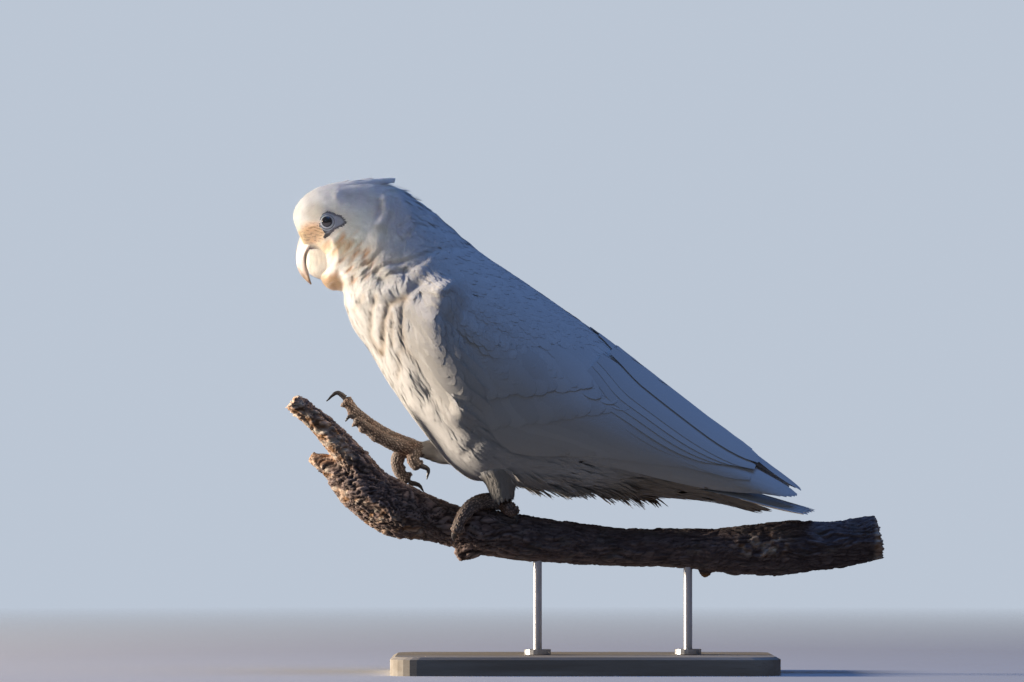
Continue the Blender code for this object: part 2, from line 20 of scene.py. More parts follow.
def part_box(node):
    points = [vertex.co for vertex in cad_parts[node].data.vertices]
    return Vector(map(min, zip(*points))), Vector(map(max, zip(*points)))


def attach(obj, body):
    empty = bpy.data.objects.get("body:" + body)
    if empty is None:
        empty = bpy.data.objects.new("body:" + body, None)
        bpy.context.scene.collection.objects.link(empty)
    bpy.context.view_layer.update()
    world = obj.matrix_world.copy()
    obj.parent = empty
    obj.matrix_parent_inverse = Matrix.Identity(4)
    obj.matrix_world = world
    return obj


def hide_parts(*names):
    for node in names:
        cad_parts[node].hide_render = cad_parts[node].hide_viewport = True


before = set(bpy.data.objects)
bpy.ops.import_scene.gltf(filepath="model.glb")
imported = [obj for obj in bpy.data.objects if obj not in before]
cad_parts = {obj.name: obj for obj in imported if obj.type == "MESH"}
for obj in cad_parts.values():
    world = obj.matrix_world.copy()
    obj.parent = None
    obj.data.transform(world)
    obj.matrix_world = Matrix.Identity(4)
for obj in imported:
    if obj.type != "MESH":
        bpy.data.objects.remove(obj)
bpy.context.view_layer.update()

MM = 0.001
PATCH = 0.003  # how much of the unwrap one feather's patch takes
LOG = logging.getLogger("corella")
Array = np.ndarray
Triple = tuple[float, float, float]
Table = list[tuple[float, ...]]
Socket = bpy.types.NodeSocket
Reading = Callable[[Array, Array, Array], Array]  # gives a value for points, places and angles


# === Numbers ===
def smooth(rows: Array, place: Array) -> Array:
    """Reads a table as one smooth curve (Catmull-Rom).

    Args:
        rows: the table, one row to a unit of place.
        place: where to read it.

    Returns:
        One row for each place.
    """
    rows = np.asarray(rows, float)
    place = np.clip(np.asarray(place, float), 0.0, len(rows) - 1.0)
    start = np.minimum(place.astype(int), len(rows) - 2)
    t = (place - start)[..., None]
    ends = np.vstack([2 * rows[0] - rows[1], rows, 2 * rows[-1] - rows[-2]])
    a, b, c, d = (ends[start + k] for k in range(4))
    return 0.5 * (2 * b + (c - a) * t + (2 * a - 5 * b + 4 * c - d) * t**2 + (3 * b - a - 3 * c + d) * t**3)


def ease(low: float, high: float, value: Array) -> Array:
    """Goes smoothly from 0 where a value is at low to 1 where it is at high."""
    t = np.clip((np.asarray(value, float) - low) / (high - low), 0.0, 1.0)
    return t * t * (3 - 2 * t)


def hill(value: Array, middle: float, reach: float) -> Array:
    """A smooth bump of height 1 round a middle, down to 0 a reach away from it."""
    return ease(1.0, 0.0, np.abs(np.asarray(value, float) - middle) / reach)


def unit(vectors: Array) -> Array:
    """Vectors brought to length 1."""
    return vectors / np.maximum(np.linalg.norm(vectors, axis=-1, keepdims=True), 1e-12)


def ripple(points: Array, size: Array, seed: int, waves: int = 10) -> Array:
    """Smooth random ripples through space, about -1 to 1.

    Args:
        points: where to read them, in the last axis.
        size: the length of a ripple along each axis of the points.
        seed: which ripples.
        waves: how many waves are added up.

    Returns:
        One value for each point.
    """
    rng = np.random.default_rng(seed)
    total = np.zeros(points.shape[:-1])
    for _ in range(waves):
        way = unit(rng.normal(size=points.shape[-1])) * rng.uniform(0.6, 1.5)
        total += np.sin(2 * math.pi * (points / np.asarray(size)) @ way + rng.uniform(0, 2 * math.pi))
    return total * math.sqrt(2.0 / waves) / 1.6


def blend(colours: Array, other: tuple[float, ...], share: Array) -> Array:
    """Colours mixed towards another one by a share at each place."""
    share = np.clip(share, 0.0, 1.0)[..., None]
    return colours * (1 - share) + np.array(other) * share


def plain(colour: Triple, points: Array) -> Array:
    """One colour for every point."""
    return np.broadcast_to(np.array(colour), points.shape)


def ring_angles(sides: int) -> Array:
    """The angles of the sides of a ring, as one row."""
    return np.linspace(-math.pi, math.pi, sides, endpoint=False)[None, :]


def pairs(place: Array | float, angle: Array | float) -> tuple[Array, ...]:
    """Places and angles brought to one shape."""
    return tuple(np.broadcast_arrays(np.asarray(place, float), np.asarray(angle, float)))


def tree_of(points: Array) -> KDTree:
    """Makes a tree that finds the nearest of some points.

    Args:
        points: the points, three numbers each.

    Returns:
        The tree, which knows each point by its number.
    """
    tree = KDTree(len(points))
    for i, at in enumerate(points):
        tree.insert(at, i)
    tree.balance()
    return tree


# === Surfaces ===
class Surface:
    """A smooth surface that is read by a place along it and an angle round it."""

    first: float = 0.0
    last: float = 1.0

    def point(self, place: Array, angle: Array) -> Array:
        """The point at each place and angle."""
        raise NotImplementedError

    def lie(self, points: Array, normals: Array, along: Array) -> Array:
        """The way that the coat lies at each point: straight along the surface."""
        return unit(along)

    def rise(self, place: Array, angle: Array) -> Array:
        """How high the coat lies over the surface there."""
        return 0.0 * place * angle

    def frame(self, place: Array, angle: Array) -> tuple[Array, Array, Array, Array]:
        """Everything that is needed to lay something on the surface.

        Args:
            place: places along the surface.
            angle: angles round it.

        Returns:
            The points, the outward normals, and the steps along and round for one unit of each.
        """
        step = 1e-3
        point = self.point(place, angle)
        along = (self.point(place + step, angle) - self.point(place - step, angle)) / (2 * step)
        around = (self.point(place, angle + step) - self.point(place, angle - step)) / (2 * step)
        return point, unit(np.cross(along, around)), along, around

    def solid(self, rows: Array, sides: int, grow: Array | float = 0.0) -> "MeshData":
        """A closed solid of the surface.

        Args:
            rows: the places of its rings.
            sides: how many sides a ring has.
            grow: how far the surface is moved outwards, one value or a grid of rings and sides.

        Returns:
            The solid, with a fan at each end.
        """
        angle = ring_angles(sides)
        place = np.asarray(rows, float)[:, None]
        inner = np.clip(place, self.first + 0.01, self.last - 0.01)
        _, normal, _, _ = self.frame(*pairs(inner, angle))
        point = self.point(*pairs(place, angle))
        return ring_solid(point + normal * np.asarray(grow, float).reshape(np.shape(grow) + (1,)))


@dataclass
class OvalLoft(Surface):
    """A loft of flat ovals, each between a point on the back line and one on the belly line.

    A row holds the back's x and z, the belly's x and z, the half width, the share of the depth where it is
    widest, and how sharply the back and the belly end. The angle is 0 on the back line and pi on the belly.
    """

    rows: Table

    def __post_init__(self) -> None:
        """The loft ends with its last row."""
        self.last = len(self.rows) - 1.0

    def point(self, place: Array, angle: Array) -> Array:
        """The point at each place and angle.

        Args:
            place, angle: where on the surface.

        Returns:
            The points, in metres.
        """
        place, angle = pairs(place, angle)
        row = smooth(self.rows, place)
        share = ((1 - np.cos(angle)) / 2) ** (np.log(row[..., 5]) / math.log(0.5))
        power = np.where(np.cos(angle) > 0, row[..., 6], row[..., 7])
        x = row[..., 0] + (row[..., 2] - row[..., 0]) * share
        z = row[..., 1] + (row[..., 3] - row[..., 1]) * share
        y = row[..., 4] * np.sign(np.sin(angle)) * np.abs(np.sin(angle)) ** power
        return np.stack([x, y, z], axis=-1) * MM


@dataclass
class Limb(Surface):
    """A tube along a smooth path of x, y, z and radius."""

    path: Table
    samples: int = 24
    knobs: list[Triple] = field(default_factory=list)  # place, reach and height, below

    def __post_init__(self) -> None:
        """Works out the centre line and the two directions across it."""
        self.last = len(self.path) - 1.0
        self.places = np.linspace(0, self.last, int(self.last * self.samples) + 1)
        line = smooth(self.path, self.places)
        self.line = line * MM
        ahead = unit(np.gradient(line[:, :3], axis=0))
        side = np.cross(ahead[0], (0.0, 1.0, 0.0))
        frames = []
        for way in ahead:
            side = unit(side - way * (side @ way))
            frames.append(np.concatenate([side, np.cross(way, side)]))
        self.frames = np.array(frames)

    def read(self, table: Array, place: Array) -> Array:
        """A table with one row for each sample, read between its rows.

        Args:
            table: one row for each sample of the path.
            place: where to read it.

        Returns:
            One row for each place.
        """
        at = np.clip(place, 0, self.last) * self.samples
        low = np.minimum(at.astype(int), len(table) - 2)
        share = (at - low)[..., None]
        return table[low] * (1 - share) + table[low + 1] * share

    def point(self, place: Array, angle: Array) -> Array:
        """The point at each place and angle. The angle 0 is on the side that faces down at the start.

        Args:
            place, angle: where on the surface.

        Returns:
            The points, in metres.
        """
        place, angle = pairs(place, angle)
        line, frames = self.read(self.line, place), self.read(self.frames, place)
        way = -np.cos(angle)[..., None] * frames[..., :3] + np.sin(angle)[..., None] * frames[..., 3:]
        radius = line[..., 3]
        for middle, reach, height in self.knobs:
            below = np.clip(-np.cos(angle), 0, 1) ** 1.5
            radius = radius + height * MM * hill(place, middle, reach) * below
        return line[..., :3] + radius[..., None] * way

    def frame(self, place: Array, angle: Array) -> tuple[Array, Array, Array, Array]:
        """As for any surface, with the normal kept pointing out.

        Args:
            place, angle: where on the surface.

        Returns:
            The points, the outward normals, and the steps along and round.
        """
        point, normal, along, around = super().frame(np.clip(place, 0.002, self.last - 0.002), angle)
        out = np.sum(normal * (point - self.read(self.line, place)[..., :3]), axis=-1, keepdims=True)
        return point, normal * np.sign(out), along, around


# === Meshes ===
@dataclass
class MeshData:
    """Points and faces on their way to an object, with what the finishes read at each point."""

    points: Array
    loops: Array
    sizes: Array
    tint: Array | None = None
    vane: Array | None = None
    patch: Array | None = None
    rim: Array | None = None

    @staticmethod
    def joined(parts: list["MeshData"]) -> "MeshData":
        """Several of them as one.

        Args:
            parts: the pieces, which all hold the same things.

        Returns:
            The one that holds them all.
        """
        starts = np.cumsum([0] + [len(part.points) for part in parts[:-1]])

        def held(name: str) -> Array | None:
            """What every part holds under this name, end to end."""
            values = [getattr(part, name) for part in parts]
            return None if values[0] is None else np.concatenate(values)

        loops = np.concatenate([part.loops + start for part, start in zip(parts, starts)])
        return MeshData(
            held("points"), loops, held("sizes"), held("tint"), held("vane"), held("patch"), held("rim")
        )

    def made(self, name: str, material: bpy.types.Material | None = None) -> bpy.types.Object:
        """Makes the object.

        Args:
            name: the object's name.
            material: its finish, unless it is only on its way to another mesh.

        Returns:
            The object, linked to the scene.
        """
        mesh = bpy.data.meshes.new(name)
        mesh.vertices.add(len(self.points))
        mesh.vertices.foreach_set("co", self.points.astype(np.float32).ravel())
        mesh.loops.add(len(self.loops))
        mesh.loops.foreach_set("vertex_index", self.loops.astype(np.int32))
        mesh.polygons.add(len(self.sizes))
        starts = np.concatenate([[0], np.cumsum(self.sizes)[:-1]])
        mesh.polygons.foreach_set("loop_start", starts.astype(np.int32))
        mesh.update(calc_edges=True)
        mesh.shade_smooth()
        if self.rim is not None:
            ends = np.zeros(len(mesh.edges) * 2, np.int32)
            mesh.edges.foreach_get("vertices", ends)
            sharp = mesh.attributes.new("sharp_edge", "BOOLEAN", "EDGE")
            sharp.data.foreach_set("value", self.rim[ends.reshape(-1, 2)].all(axis=1))
        if self.tint is not None:
            rgba = np.column_stack([self.tint, np.ones(len(self.tint))]).astype(np.float32)
            mesh.attributes.new("tint", "FLOAT_COLOR", "POINT").data.foreach_set("color", rgba.ravel())
        if self.vane is not None:
            vane = self.vane.astype(np.float32)
            mesh.attributes.new("vane", "FLOAT_VECTOR", "POINT").data.foreach_set("vector", vane.ravel())
        if self.patch is not None:
            root, offset = self.patch[:, :2], self.patch[:, 2:]
            place = (root - root.min(axis=0)) / np.maximum(np.ptp(root, axis=0), 1e-6)
            place = 0.02 + 0.96 * place + PATCH * offset
            layer = mesh.uv_layers.new(name="OFBake", do_init=False)
            layer.uv.foreach_set("vector", place[self.loops].astype(np.float32).ravel())
        if material:
            mesh.materials.append(material)
        obj = bpy.data.objects.new(name, mesh)
        bpy.context.scene.collection.objects.link(obj)
        return obj

    def shown(self, name: str, finish: "Finish", slot: str = "", nodes: tuple[str, ...] = ()) -> None:
        """Makes a visible piece of the model and reports it.

        Args:
            name: the piece's name.
            finish: its finish.
            slot: not used.
            nodes: the solids that it stands for.
        """
        piece = self.made(name, finish.material())
        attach(piece, "root")
        if nodes:
            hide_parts(*nodes)
        LOG.info("%s: %d faces", name, len(self.sizes))


def ring_quads(count: int, sides: int) -> Array:
    """The faces between rings of points, where the first ring follows the last one.

    Args:
        count: how many rings there are.
        sides: how many points a ring has.

    Returns:
        The numbers of four points for each ring and side.
    """
    i, j = np.meshgrid(np.arange(count), np.arange(sides), indexing="ij")
    k, m = (i + 1) % count, (j + 1) % sides
    return np.stack([i * sides + j, k * sides + j, k * sides + m, i * sides + m], -1)


def ring_solid(rings: Array) -> MeshData:
    """A closed solid through rings of points, with a fan over each end.

    Args:
        rings: rings by sides by three, in an order that puts the faces outwards.

    Returns:
        The solid.
    """
    count, sides = rings.shape[:2]
    quads = ring_quads(count, sides)[:-1]
    ring = np.arange(sides)
    following, end = (ring + 1) % sides, (count - 1) * sides
    first = np.stack([np.full(sides, count * sides), ring, following], -1)
    last = np.stack([np.full(sides, count * sides + 1), end + following, end + ring], -1)
    points = np.concatenate([rings.reshape(-1, 3), rings[[0, -1]].mean(axis=1)])
    loops = np.concatenate([quads.ravel(), first.ravel(), last.ravel()])
    return MeshData(points, loops, np.concatenate([np.full(quads.size // 4, 4), np.full(2 * sides, 3)]))


def as_one(parts: list[MeshData], voxel: float, name: str) -> tuple[Array, Array, Array]:
    """Several closed solids grown together into one even mesh.

    Args:
        parts: the solids, which may run through each other.
        voxel: the size of its faces.
        name: a name for the objects on the way.

    Returns:
        Its points, its normals and its quads.
    """
    whole = MeshData.joined([MeshData(part.points, part.loops, part.sizes) for part in parts])
    rough = whole.made(name + "_rough")
    change = rough.modifiers.new("one", "REMESH")
    change.mode = "VOXEL"
    change.voxel_size = voxel
    change.use_smooth_shade = True
    relax = rough.modifiers.new("relax", "SMOOTH")
    relax.factor = 0.5
    relax.iterations = 4
    bpy.context.view_layer.update()
    shaped = rough.evaluated_get(bpy.context.evaluated_depsgraph_get()).to_mesh()
    points = np.zeros(len(shaped.vertices) * 3, np.float32)
    shaped.vertices.foreach_get("co", points)
    normals = np.zeros(len(shaped.vertices) * 3, np.float32)
    shaped.vertex_normals.foreach_get("vector", normals)
    quads = np.zeros(len(shaped.loops), np.int32)
    shaped.loops.foreach_get("vertex_index", quads)
    bpy.data.objects.remove(rough, do_unlink=True)
    return points.reshape(-1, 3).astype(float), normals.reshape(-1, 3).astype(float), quads.reshape(-1, 4)


# === Finishes ===
class Recipe:
    """A material's nodes, with a method for each kind that the finishes use."""

    def __init__(self, name: str) -> None:
        """Starts a material with its Principled shader.

        Args:
            name: the material's name.
        """
        self.material = bpy.data.materials.new(name)
        self.material.use_nodes = True
        self.tree = self.material.node_tree
        self.shader = self.tree.nodes["Principled BSDF"]

    def node(
        self, kind: str, inputs: dict[str | int, object] | None = None, **settings: object
    ) -> bpy.types.Node:
        """Adds a node.

        Args:
            kind: the node's Blender type.
            inputs: a value or a socket to link for each input.
            settings: the node's own properties.

        Returns:
            The node.
        """
        made = self.tree.nodes.new(kind)
        for name, value in settings.items():
            setattr(made, name, value)
        for key, value in (inputs or {}).items():
            self.put(made, key, value)
        return made

    def put(self, node: bpy.types.Node, key: str | int, value: object) -> None:
        """Sets an input to a value, or links a socket to it.

        Args:
            node: the node.
            key: the input's name or number.
            value: the value or the socket.
        """
        if isinstance(value, Socket):
            self.tree.links.new(value, node.inputs[key])
        else:
            node.inputs[key].default_value = value

    def set(self, **inputs: object) -> None:
        """Sets the shader's inputs, whose names are given with _ for a space."""
        for name, value in inputs.items():
            self.put(self.shader, name.replace("_", " "), value)

    def place(self, stretch: Triple = (1, 1, 1)) -> Socket:
        """The object's own coordinates, stretched along each axis."""
        source = self.node("ShaderNodeTexCoord").outputs["Object"]
        return self.node("ShaderNodeMapping", {"Vector": source, "Scale": stretch}).outputs[0]

    def attribute(self, name: str, output: str) -> Socket:
        """An attribute of the mesh."""
        return self.node("ShaderNodeAttribute", attribute_name=name).outputs[output]

    def tint(self) -> Socket:
        """The colour that the mesh holds at each point."""
        return self.attribute("tint", "Color")

    def noise(self, vector: Socket, scale: float, detail: float = 3.0) -> Socket:
        """Soft noise, from 0 to 1."""
        inputs = {"Vector": vector, "Scale": scale, "Detail": detail, "Roughness": 0.6}
        return self.node("ShaderNodeTexNoise", inputs).outputs["Fac"]

    def ramp(self, factor: Socket, low: float, high: float) -> Socket:
        """A factor stretched so that low becomes 0 and high becomes 1."""
        inputs = {"Value": factor, "From Min": low, "From Max": high}
        return self.node("ShaderNodeMapRange", inputs).outputs[0]

    def mix(self, factor: object, low: object, high: object, how: str = "MIX") -> Socket:
        """Two colours mixed by a factor.

        Args:
            factor: a socket or a number.
            low: the colour where the factor is 0.
            high: the colour where it is 1.
            how: Blender's name for the way of mixing.

        Returns:
            The mixed colour.
        """
        node = self.node("ShaderNodeMix", data_type="RGBA", blend_type=how)
        for index, value in ((0, factor), (6, low), (7, high)):
            self.put(node, index, (*value, 1.0) if isinstance(value, tuple) else value)
        return node.outputs[2]

    def times(self, colour: Socket, shade: object) -> Socket:
        """A colour multiplied by another."""
        return self.mix(1.0, colour, shade, "MULTIPLY")

    def shaded(self, factor: Socket, colour: Socket, shade: Triple) -> Socket:
        """A colour, multiplied by a shade as far as the factor says."""
        return self.mix(factor, colour, self.times(colour, shade))

    def math(self, how: str, a: object, b: object = 0.0) -> Socket:
        """One step of arithmetic on sockets or numbers."""
        return self.node("ShaderNodeMath", {0: a, 1: b}, operation=how).outputs[0]

    def bump(self, height: Socket, depth: float, strength: float = 1.0) -> None:
        """Gives the shader fine relief of this depth, in metres."""
        inputs = {"Height": height, "Distance": depth, "Strength": strength}
        self.set(Normal=self.node("ShaderNodeBump", inputs).outputs[0])


class Finish:
    """A finish makes one material and keeps it."""

    name: str

    def material(self) -> bpy.types.Material:
        """The finish's material, made once. The solids' own materials hold the plain names.

        Returns:
            The material.
        """
        name = self.name + "_finish"
        if name not in bpy.data.materials:
            self.fill(Recipe(name))
        return bpy.data.materials[name]

    def fill(self, recipe: Recipe) -> None:
        """Adds the nodes that make the finish."""
        raise NotImplementedError


@dataclass(frozen=True)
class PlumageFinish(Finish):
    """Matt, faintly silky feather vanes, with fine barbs slanting off the shaft."""

    name: str = "plumage"
    barbs: float = 26.0  # along a vane
    # painted shade at each vane's root
    root_painted_shade: float = 0.93
    barb_depth: float = 0.02 * MM
    sheen: float = 0.25

    def fill(self, recipe: Recipe) -> None:
        """The tint of each vane, with painted shade towards its root, where other vanes lie over it, and the
        barbs as relief.

        Args:
            recipe: the material on its way.
        """
        parts = recipe.node("ShaderNodeSeparateXYZ", {"Vector": recipe.attribute("vane", "Vector")}).outputs
        across = recipe.math("ABSOLUTE", parts["X"])
        slant = recipe.math("SUBTRACT", parts["Y"], recipe.math("MULTIPLY", across, 0.35))
        wave = recipe.math("SINE", recipe.math("MULTIPLY", slant, self.barbs * 2 * math.pi))
        mottle = recipe.noise(recipe.place(), 900.0, 2.0)
        depth = recipe.ramp(parts["Y"], 0.1, 0.75)
        shade = recipe.mix(depth, (self.root_painted_shade,) * 3, (1.0, 1.0, 1.0))
        tint = recipe.times(recipe.tint(), shade)
        recipe.set(Base_Color=recipe.shaded(recipe.ramp(mottle, 0.3, 0.7), tint, (0.97, 0.965, 0.955)))
        recipe.set(Roughness=0.72, Sheen_Weight=self.sheen, Sheen_Roughness=0.5, Specular_IOR_Level=0.25)
        recipe.bump(recipe.math("ADD", wave, mottle), self.barb_depth)


@dataclass(frozen=True)
class SkinFinish(Finish):
    """Thin skin with down over it, in the tint of the plumage that it carries."""

    name: str = "skin"
    depth: float = 0.3 * MM

    def fill(self, recipe: Recipe) -> None:
        """The tint, mottled, with a soft pebbled relief.

        Args:
            recipe: the material on its way.
        """
        down = recipe.noise(recipe.place(), 600.0)
        recipe.set(Base_Color=recipe.shaded(down, recipe.tint(), (0.8, 0.78, 0.76)), Roughness=0.8)
        recipe.bump(down, self.depth)


@dataclass(frozen=True)
class LidFinish(Finish):
    """The bare, wrinkled skin round the eye."""

    name: str = "eye_skin"
    depth: float = 0.12 * MM

    def fill(self, recipe: Recipe) -> None:
        """The tint with fine wrinkles.

        Args:
            recipe: the material on its way.
        """
        place = recipe.place()
        cells = recipe.node("ShaderNodeTexVoronoi", {"Vector": place, "Scale": 1500.0}).outputs["Distance"]
        worn = recipe.ramp(recipe.noise(place, 700.0), 0.35, 0.7)
        recipe.set(Base_Color=recipe.shaded(worn, recipe.tint(), (0.78, 0.8, 0.86)))
        recipe.set(Roughness=0.48, Specular_IOR_Level=0.45)
        recipe.bump(cells, self.depth)


@dataclass(frozen=True)
class EyeFinish(Finish):
    """A near-black eye under a clear, wet coat."""

    name: str = "eye"

    def fill(self, recipe: Recipe) -> None:
        """A dark brown iris round a black pupil, from the tint, with fine rays.

        Args:
            recipe: the material on its way.
        """
        rays = recipe.noise(recipe.place(), 1800.0)
        recipe.set(Base_Color=recipe.shaded(rays, recipe.tint(), (0.5, 0.5, 0.5)))
        recipe.set(Roughness=0.2, Specular_IOR_Level=0.1, Coat_Weight=1.0, Coat_Roughness=0.02, Coat_IOR=1.9)


@dataclass(frozen=True)
class HornFinish(Finish):
    """Horn with growth lines and fine scratches."""

    name: str = "bill_horn"
    line_scale: float = 1.0
    roughness: float = 0.36
    depth: float = 0.06 * MM

    def fill(self, recipe: Recipe) -> None:
        """The tint, with streaks along the growth and a satin surface.

        Args:
            recipe: the material on its way.
        """
        streaks = recipe.noise(recipe.place((500, 500, 110)), self.line_scale, 4.0)
        patches = recipe.noise(recipe.place(), 260.0)
        streaked = recipe.shaded(recipe.ramp(streaks, 0.42, 0.72), recipe.tint(), (0.78, 0.72, 0.68))
        recipe.set(Base_Color=recipe.shaded(recipe.ramp(patches, 0.45, 0.75), streaked, (1.12, 1.1, 1.06)))
        recipe.set(Roughness=self.roughness, Coat_Weight=0.15, Coat_Roughness=0.3)
        recipe.bump(streaks, self.depth)


@dataclass(frozen=True)
class ScaleFinish(Finish):
    """Dry, dusty scales."""

    name: str = "foot_scale"
    depth: float = 0.08 * MM

    def fill(self, recipe: Recipe) -> None:
        """The tint of each scale with dust and fine grain.

        Args:
            recipe: the material on its way.
        """
        place = recipe.place()
        dust = recipe.ramp(recipe.noise(place, 420.0), 0.45, 0.75)
        recipe.set(Base_Color=recipe.shaded(dust, recipe.tint(), (1.5, 1.45, 1.4)))
        recipe.set(Roughness=0.62, Specular_IOR_Level=0.4)
        recipe.bump(recipe.noise(place, 2400.0), self.depth)


@dataclass(frozen=True)
class BarkFinish(Finish):
    """Weathered bark and bare broken wood."""

    name: str = "bark"
    depth: float = 0.5 * MM

    def fill(self, recipe: Recipe) -> None:
        """The tint of the relief with fibres along the branch and fine flakes; the raised fibres are painted
        lighter and the low ones darker, partly weathering, partly painted highlight and shade.

        Args:
            recipe: the material on its way.
        """
        fibres = recipe.noise(recipe.place((90, 420, 420)), 1.0, 6.0)
        flakes = recipe.node("ShaderNodeTexVoronoi", {"Vector": recipe.place((260, 560, 560)), "Scale": 1.0})
        tint = recipe.tint()
        # painted shade in the low fibres and painted highlight on the raised ones, partly the bark's
        # weathering
        streaked = recipe.mix(recipe.ramp(fibres, 0.35, 0.6), recipe.times(tint, (0.50, 0.46, 0.45)), tint)
        light = recipe.times(tint, (1.7, 1.6, 1.5))
        recipe.set(Base_Color=recipe.mix(recipe.ramp(fibres, 0.58, 0.72), streaked, light))
        recipe.set(Roughness=0.9, Specular_IOR_Level=0.3)
        recipe.bump(recipe.math("ADD", fibres, flakes.outputs["Distance"]), self.depth)


@dataclass(frozen=True)
class WoodFinish(Finish):
    """Plain waxed wood with its grain along the base."""

    name: str = "stand_wood"
    light: Triple = (0.56, 0.52, 0.46)
    dark: Triple = (0.40, 0.35, 0.29)

    def fill(self, recipe: Recipe) -> None:
        """Long grain and pores under a dull wax.

        Args:
            recipe: the material on its way.
        """
        grain = recipe.noise(recipe.place((7, 90, 90)), 1.0, 5.0)
        pores = recipe.noise(recipe.place((60, 1400, 1400)), 1.0, 2.0)
        colour = recipe.mix(recipe.ramp(grain, 0.35, 0.65), self.dark, self.light)
        pored = recipe.mix(recipe.ramp(pores, 0.6, 0.75), colour, self.dark)
        recipe.set(Base_Color=pored, Roughness=0.7, Specular_IOR_Level=0.12)
        recipe.bump(pores, 0.05 * MM)


@dataclass(frozen=True)
class MetalFinish(Finish):
    """Brushed steel."""

    name: str = "stand_metal"
    colour: Triple = (0.62, 0.62, 0.63)

    def fill(self, recipe: Recipe) -> None:
        """Fine lines round the rod and faint handling marks.

        Args:
            recipe: the material on its way.
        """
        lines = recipe.noise(recipe.place((60, 60, 4000)), 1.0, 2.0)
        marks = recipe.noise(recipe.place(), 120.0)
        recipe.set(Base_Color=recipe.mix(marks, self.colour, (0.5, 0.5, 0.51)), Metallic=1.0)
        recipe.set(Roughness=recipe.ramp(lines, -0.6, 2.2))
        recipe.bump(lines, 0.02 * MM)


# === The bird's shape ===
@dataclass(frozen=True)
class Fold:
    """A crease or a swelling of the coat along a line, as seen from the side (x, z)."""

    line: list[tuple[float, float]]
    reach: float
    height: float

    def rise(self, points: Array) -> Array:
        """How high it lifts the coat, in metres; a crease is below zero.

        Args:
            points: where to read it.

        Returns:
            The height at each point.
        """
        line = np.array(self.line) * MM
        flat = points[..., [0, 2]]
        nearest = np.full(flat.shape[:-1], np.inf)
        for a, b in zip(line[:-1], line[1:]):
            share = np.clip(((flat - a) @ (b - a)) / ((b - a) @ (b - a)), 0, 1)
            nearest = np.minimum(nearest, np.linalg.norm(flat - a - share[..., None] * (b - a), axis=-1))
        return self.height * MM * hill(nearest, 0.0, self.reach * MM)


@dataclass(frozen=True)
class Spot:
    """An oval region as seen from the side, with what it does there and how strongly."""

    x: float
    z: float
    reach_x: float
    reach_z: float
    value: tuple[float, ...]
    weight: float = 1.0

    def share(self, points: Array) -> Array:
        """The region's weight at each point, which fades towards its border.

        Args:
            points: where to read it.

        Returns:
            The weight at each point.
        """
        across = (points[..., 0] / MM - self.x) / self.reach_x
        up = (points[..., 2] / MM - self.z) / self.reach_z
        return self.weight * ease(1.0, 0.35, np.hypot(across, up))


WHITE = (0.90, 0.885, 0.865)
CREAM = (0.88, 0.81, 0.70)
# dark buff of the underside: partly its own buff wash, partly painted shade
BUFF_AND_SHADE = (0.44, 0.34, 0.24)
# tan of the creases: partly feather bases showing there, partly painted shade
TAN_BASES_AND_SHADE = (0.60, 0.44, 0.28)

FOLDS = [
    Fold([(-119, 282), (-117.6, 275.4), (-122, 267)], 5.2, 1.5),  # the ruff behind the ear
    Fold([(-122.5, 266), (-125, 256), (-130.5, 246), (-141, 237.5)], 6, 0.8),  # the cheek's edge
    Fold([(-111.5, 270), (-113.5, 257), (-118, 243), (-123, 236.5)], 5, -0.3),  # the hollow behind it
    Fold([(-119, 264), (-118.5, 252), (-119.5, 242)], 9, 1.2),
    Fold([(-113.5, 282), (-112, 274), (-116.5, 265), (-119.5, 253), (-125, 247)], 3.8, -0.6),
    Fold([(-133, 222), (-127.5, 227)], 8, 1.1),  # swellings below the chin
    Fold([(-115, 228), (-121, 224)], 6, 1.3),
    Fold([(-82, 225), (-86, 217), (-88.5, 208), (-88, 198), (-84.5, 188), (-79.5, 178),
          (-74.5, 168), (-71, 159)], 15, 4.8),  # the lit swelling in front of the wing
    Fold([(-86, 226.5), (-81, 227.5)], 6, 1.8),
    Fold([(-86, 156), (-77, 143), (-73, 134), (-65, 121)], 14, 3.2),  # the belly's lit edge
    Fold([(-72, 154), (-62, 140), (-56, 129)], 14, 2.4),
    Fold([(-103, 271), (-110, 264.6)], 2.4, -0.9),  # creases down the neck
    Fold([(-86.4, 265.5), (-97.8, 267.3), (-104, 259.8), (-110, 256)], 2.4, -1),
    Fold([(-71, 255.5), (-86.4, 252), (-103, 246), (-116.7, 243.2), (-124.8, 238.8)], 2.6, -1.1),
    Fold([(-94, 246.6), (-103, 241), (-113.4, 237.5), (-122, 234)], 2.4, -0.9),
    Fold([(-93.7, 234.5), (-103, 228.3), (-108.4, 216.6), (-108.8, 204.2), (-106.8, 192.6), (-100, 185.6),
          (-90.3, 173.2), (-80, 161)], 3.8, -0.9),  # in front of the fold at the wing
    Fold([(-107.5, 222.8), (-116.4, 218.7), (-119.2, 208), (-120, 191)], 3.2, -1.3),
    Fold([(-114.6, 213), (-114.4, 195)], 2.5, -0.7),
    Fold([(-124, 224), (-126.8, 214.8), (-127.5, 200.4), (-121, 189.4)], 3, -0.7),
    Fold([(-131.5, 224.5), (-136.4, 216.6)], 2.8, -0.6),
    Fold([(-110.4, 190.4), (-109.8, 181.4), (-111, 176.6)], 2.8, -0.6),
    Fold([(-93, 167), (-86, 157.5), (-80, 150), (-75, 144)], 4, -0.9),
    Fold([(-104, 176), (-98, 160)], 6, 1.2),
    Fold([(-62, 141), (-71, 131)], 3.8, -0.7),
    Fold([(-84, 163), (-68, 148), (-60, 141), (-47, 136), (-38, 132)], 5, -1),
    Fold([(-38, 131.5), (-18, 128.5), (6, 122.5), (25, 120.5), (45, 116.5), (71, 113.5)], 6, -1.1),
    Fold([(-142.5, 282.5), (-134, 283), (-126, 280), (-125, 274)], 7, -1.35),  # hollow over the ear
    Fold([(-148, 286), (-145.5, 281), (-141.5, 276.5)], 4.2, 0.55),  # brow
]
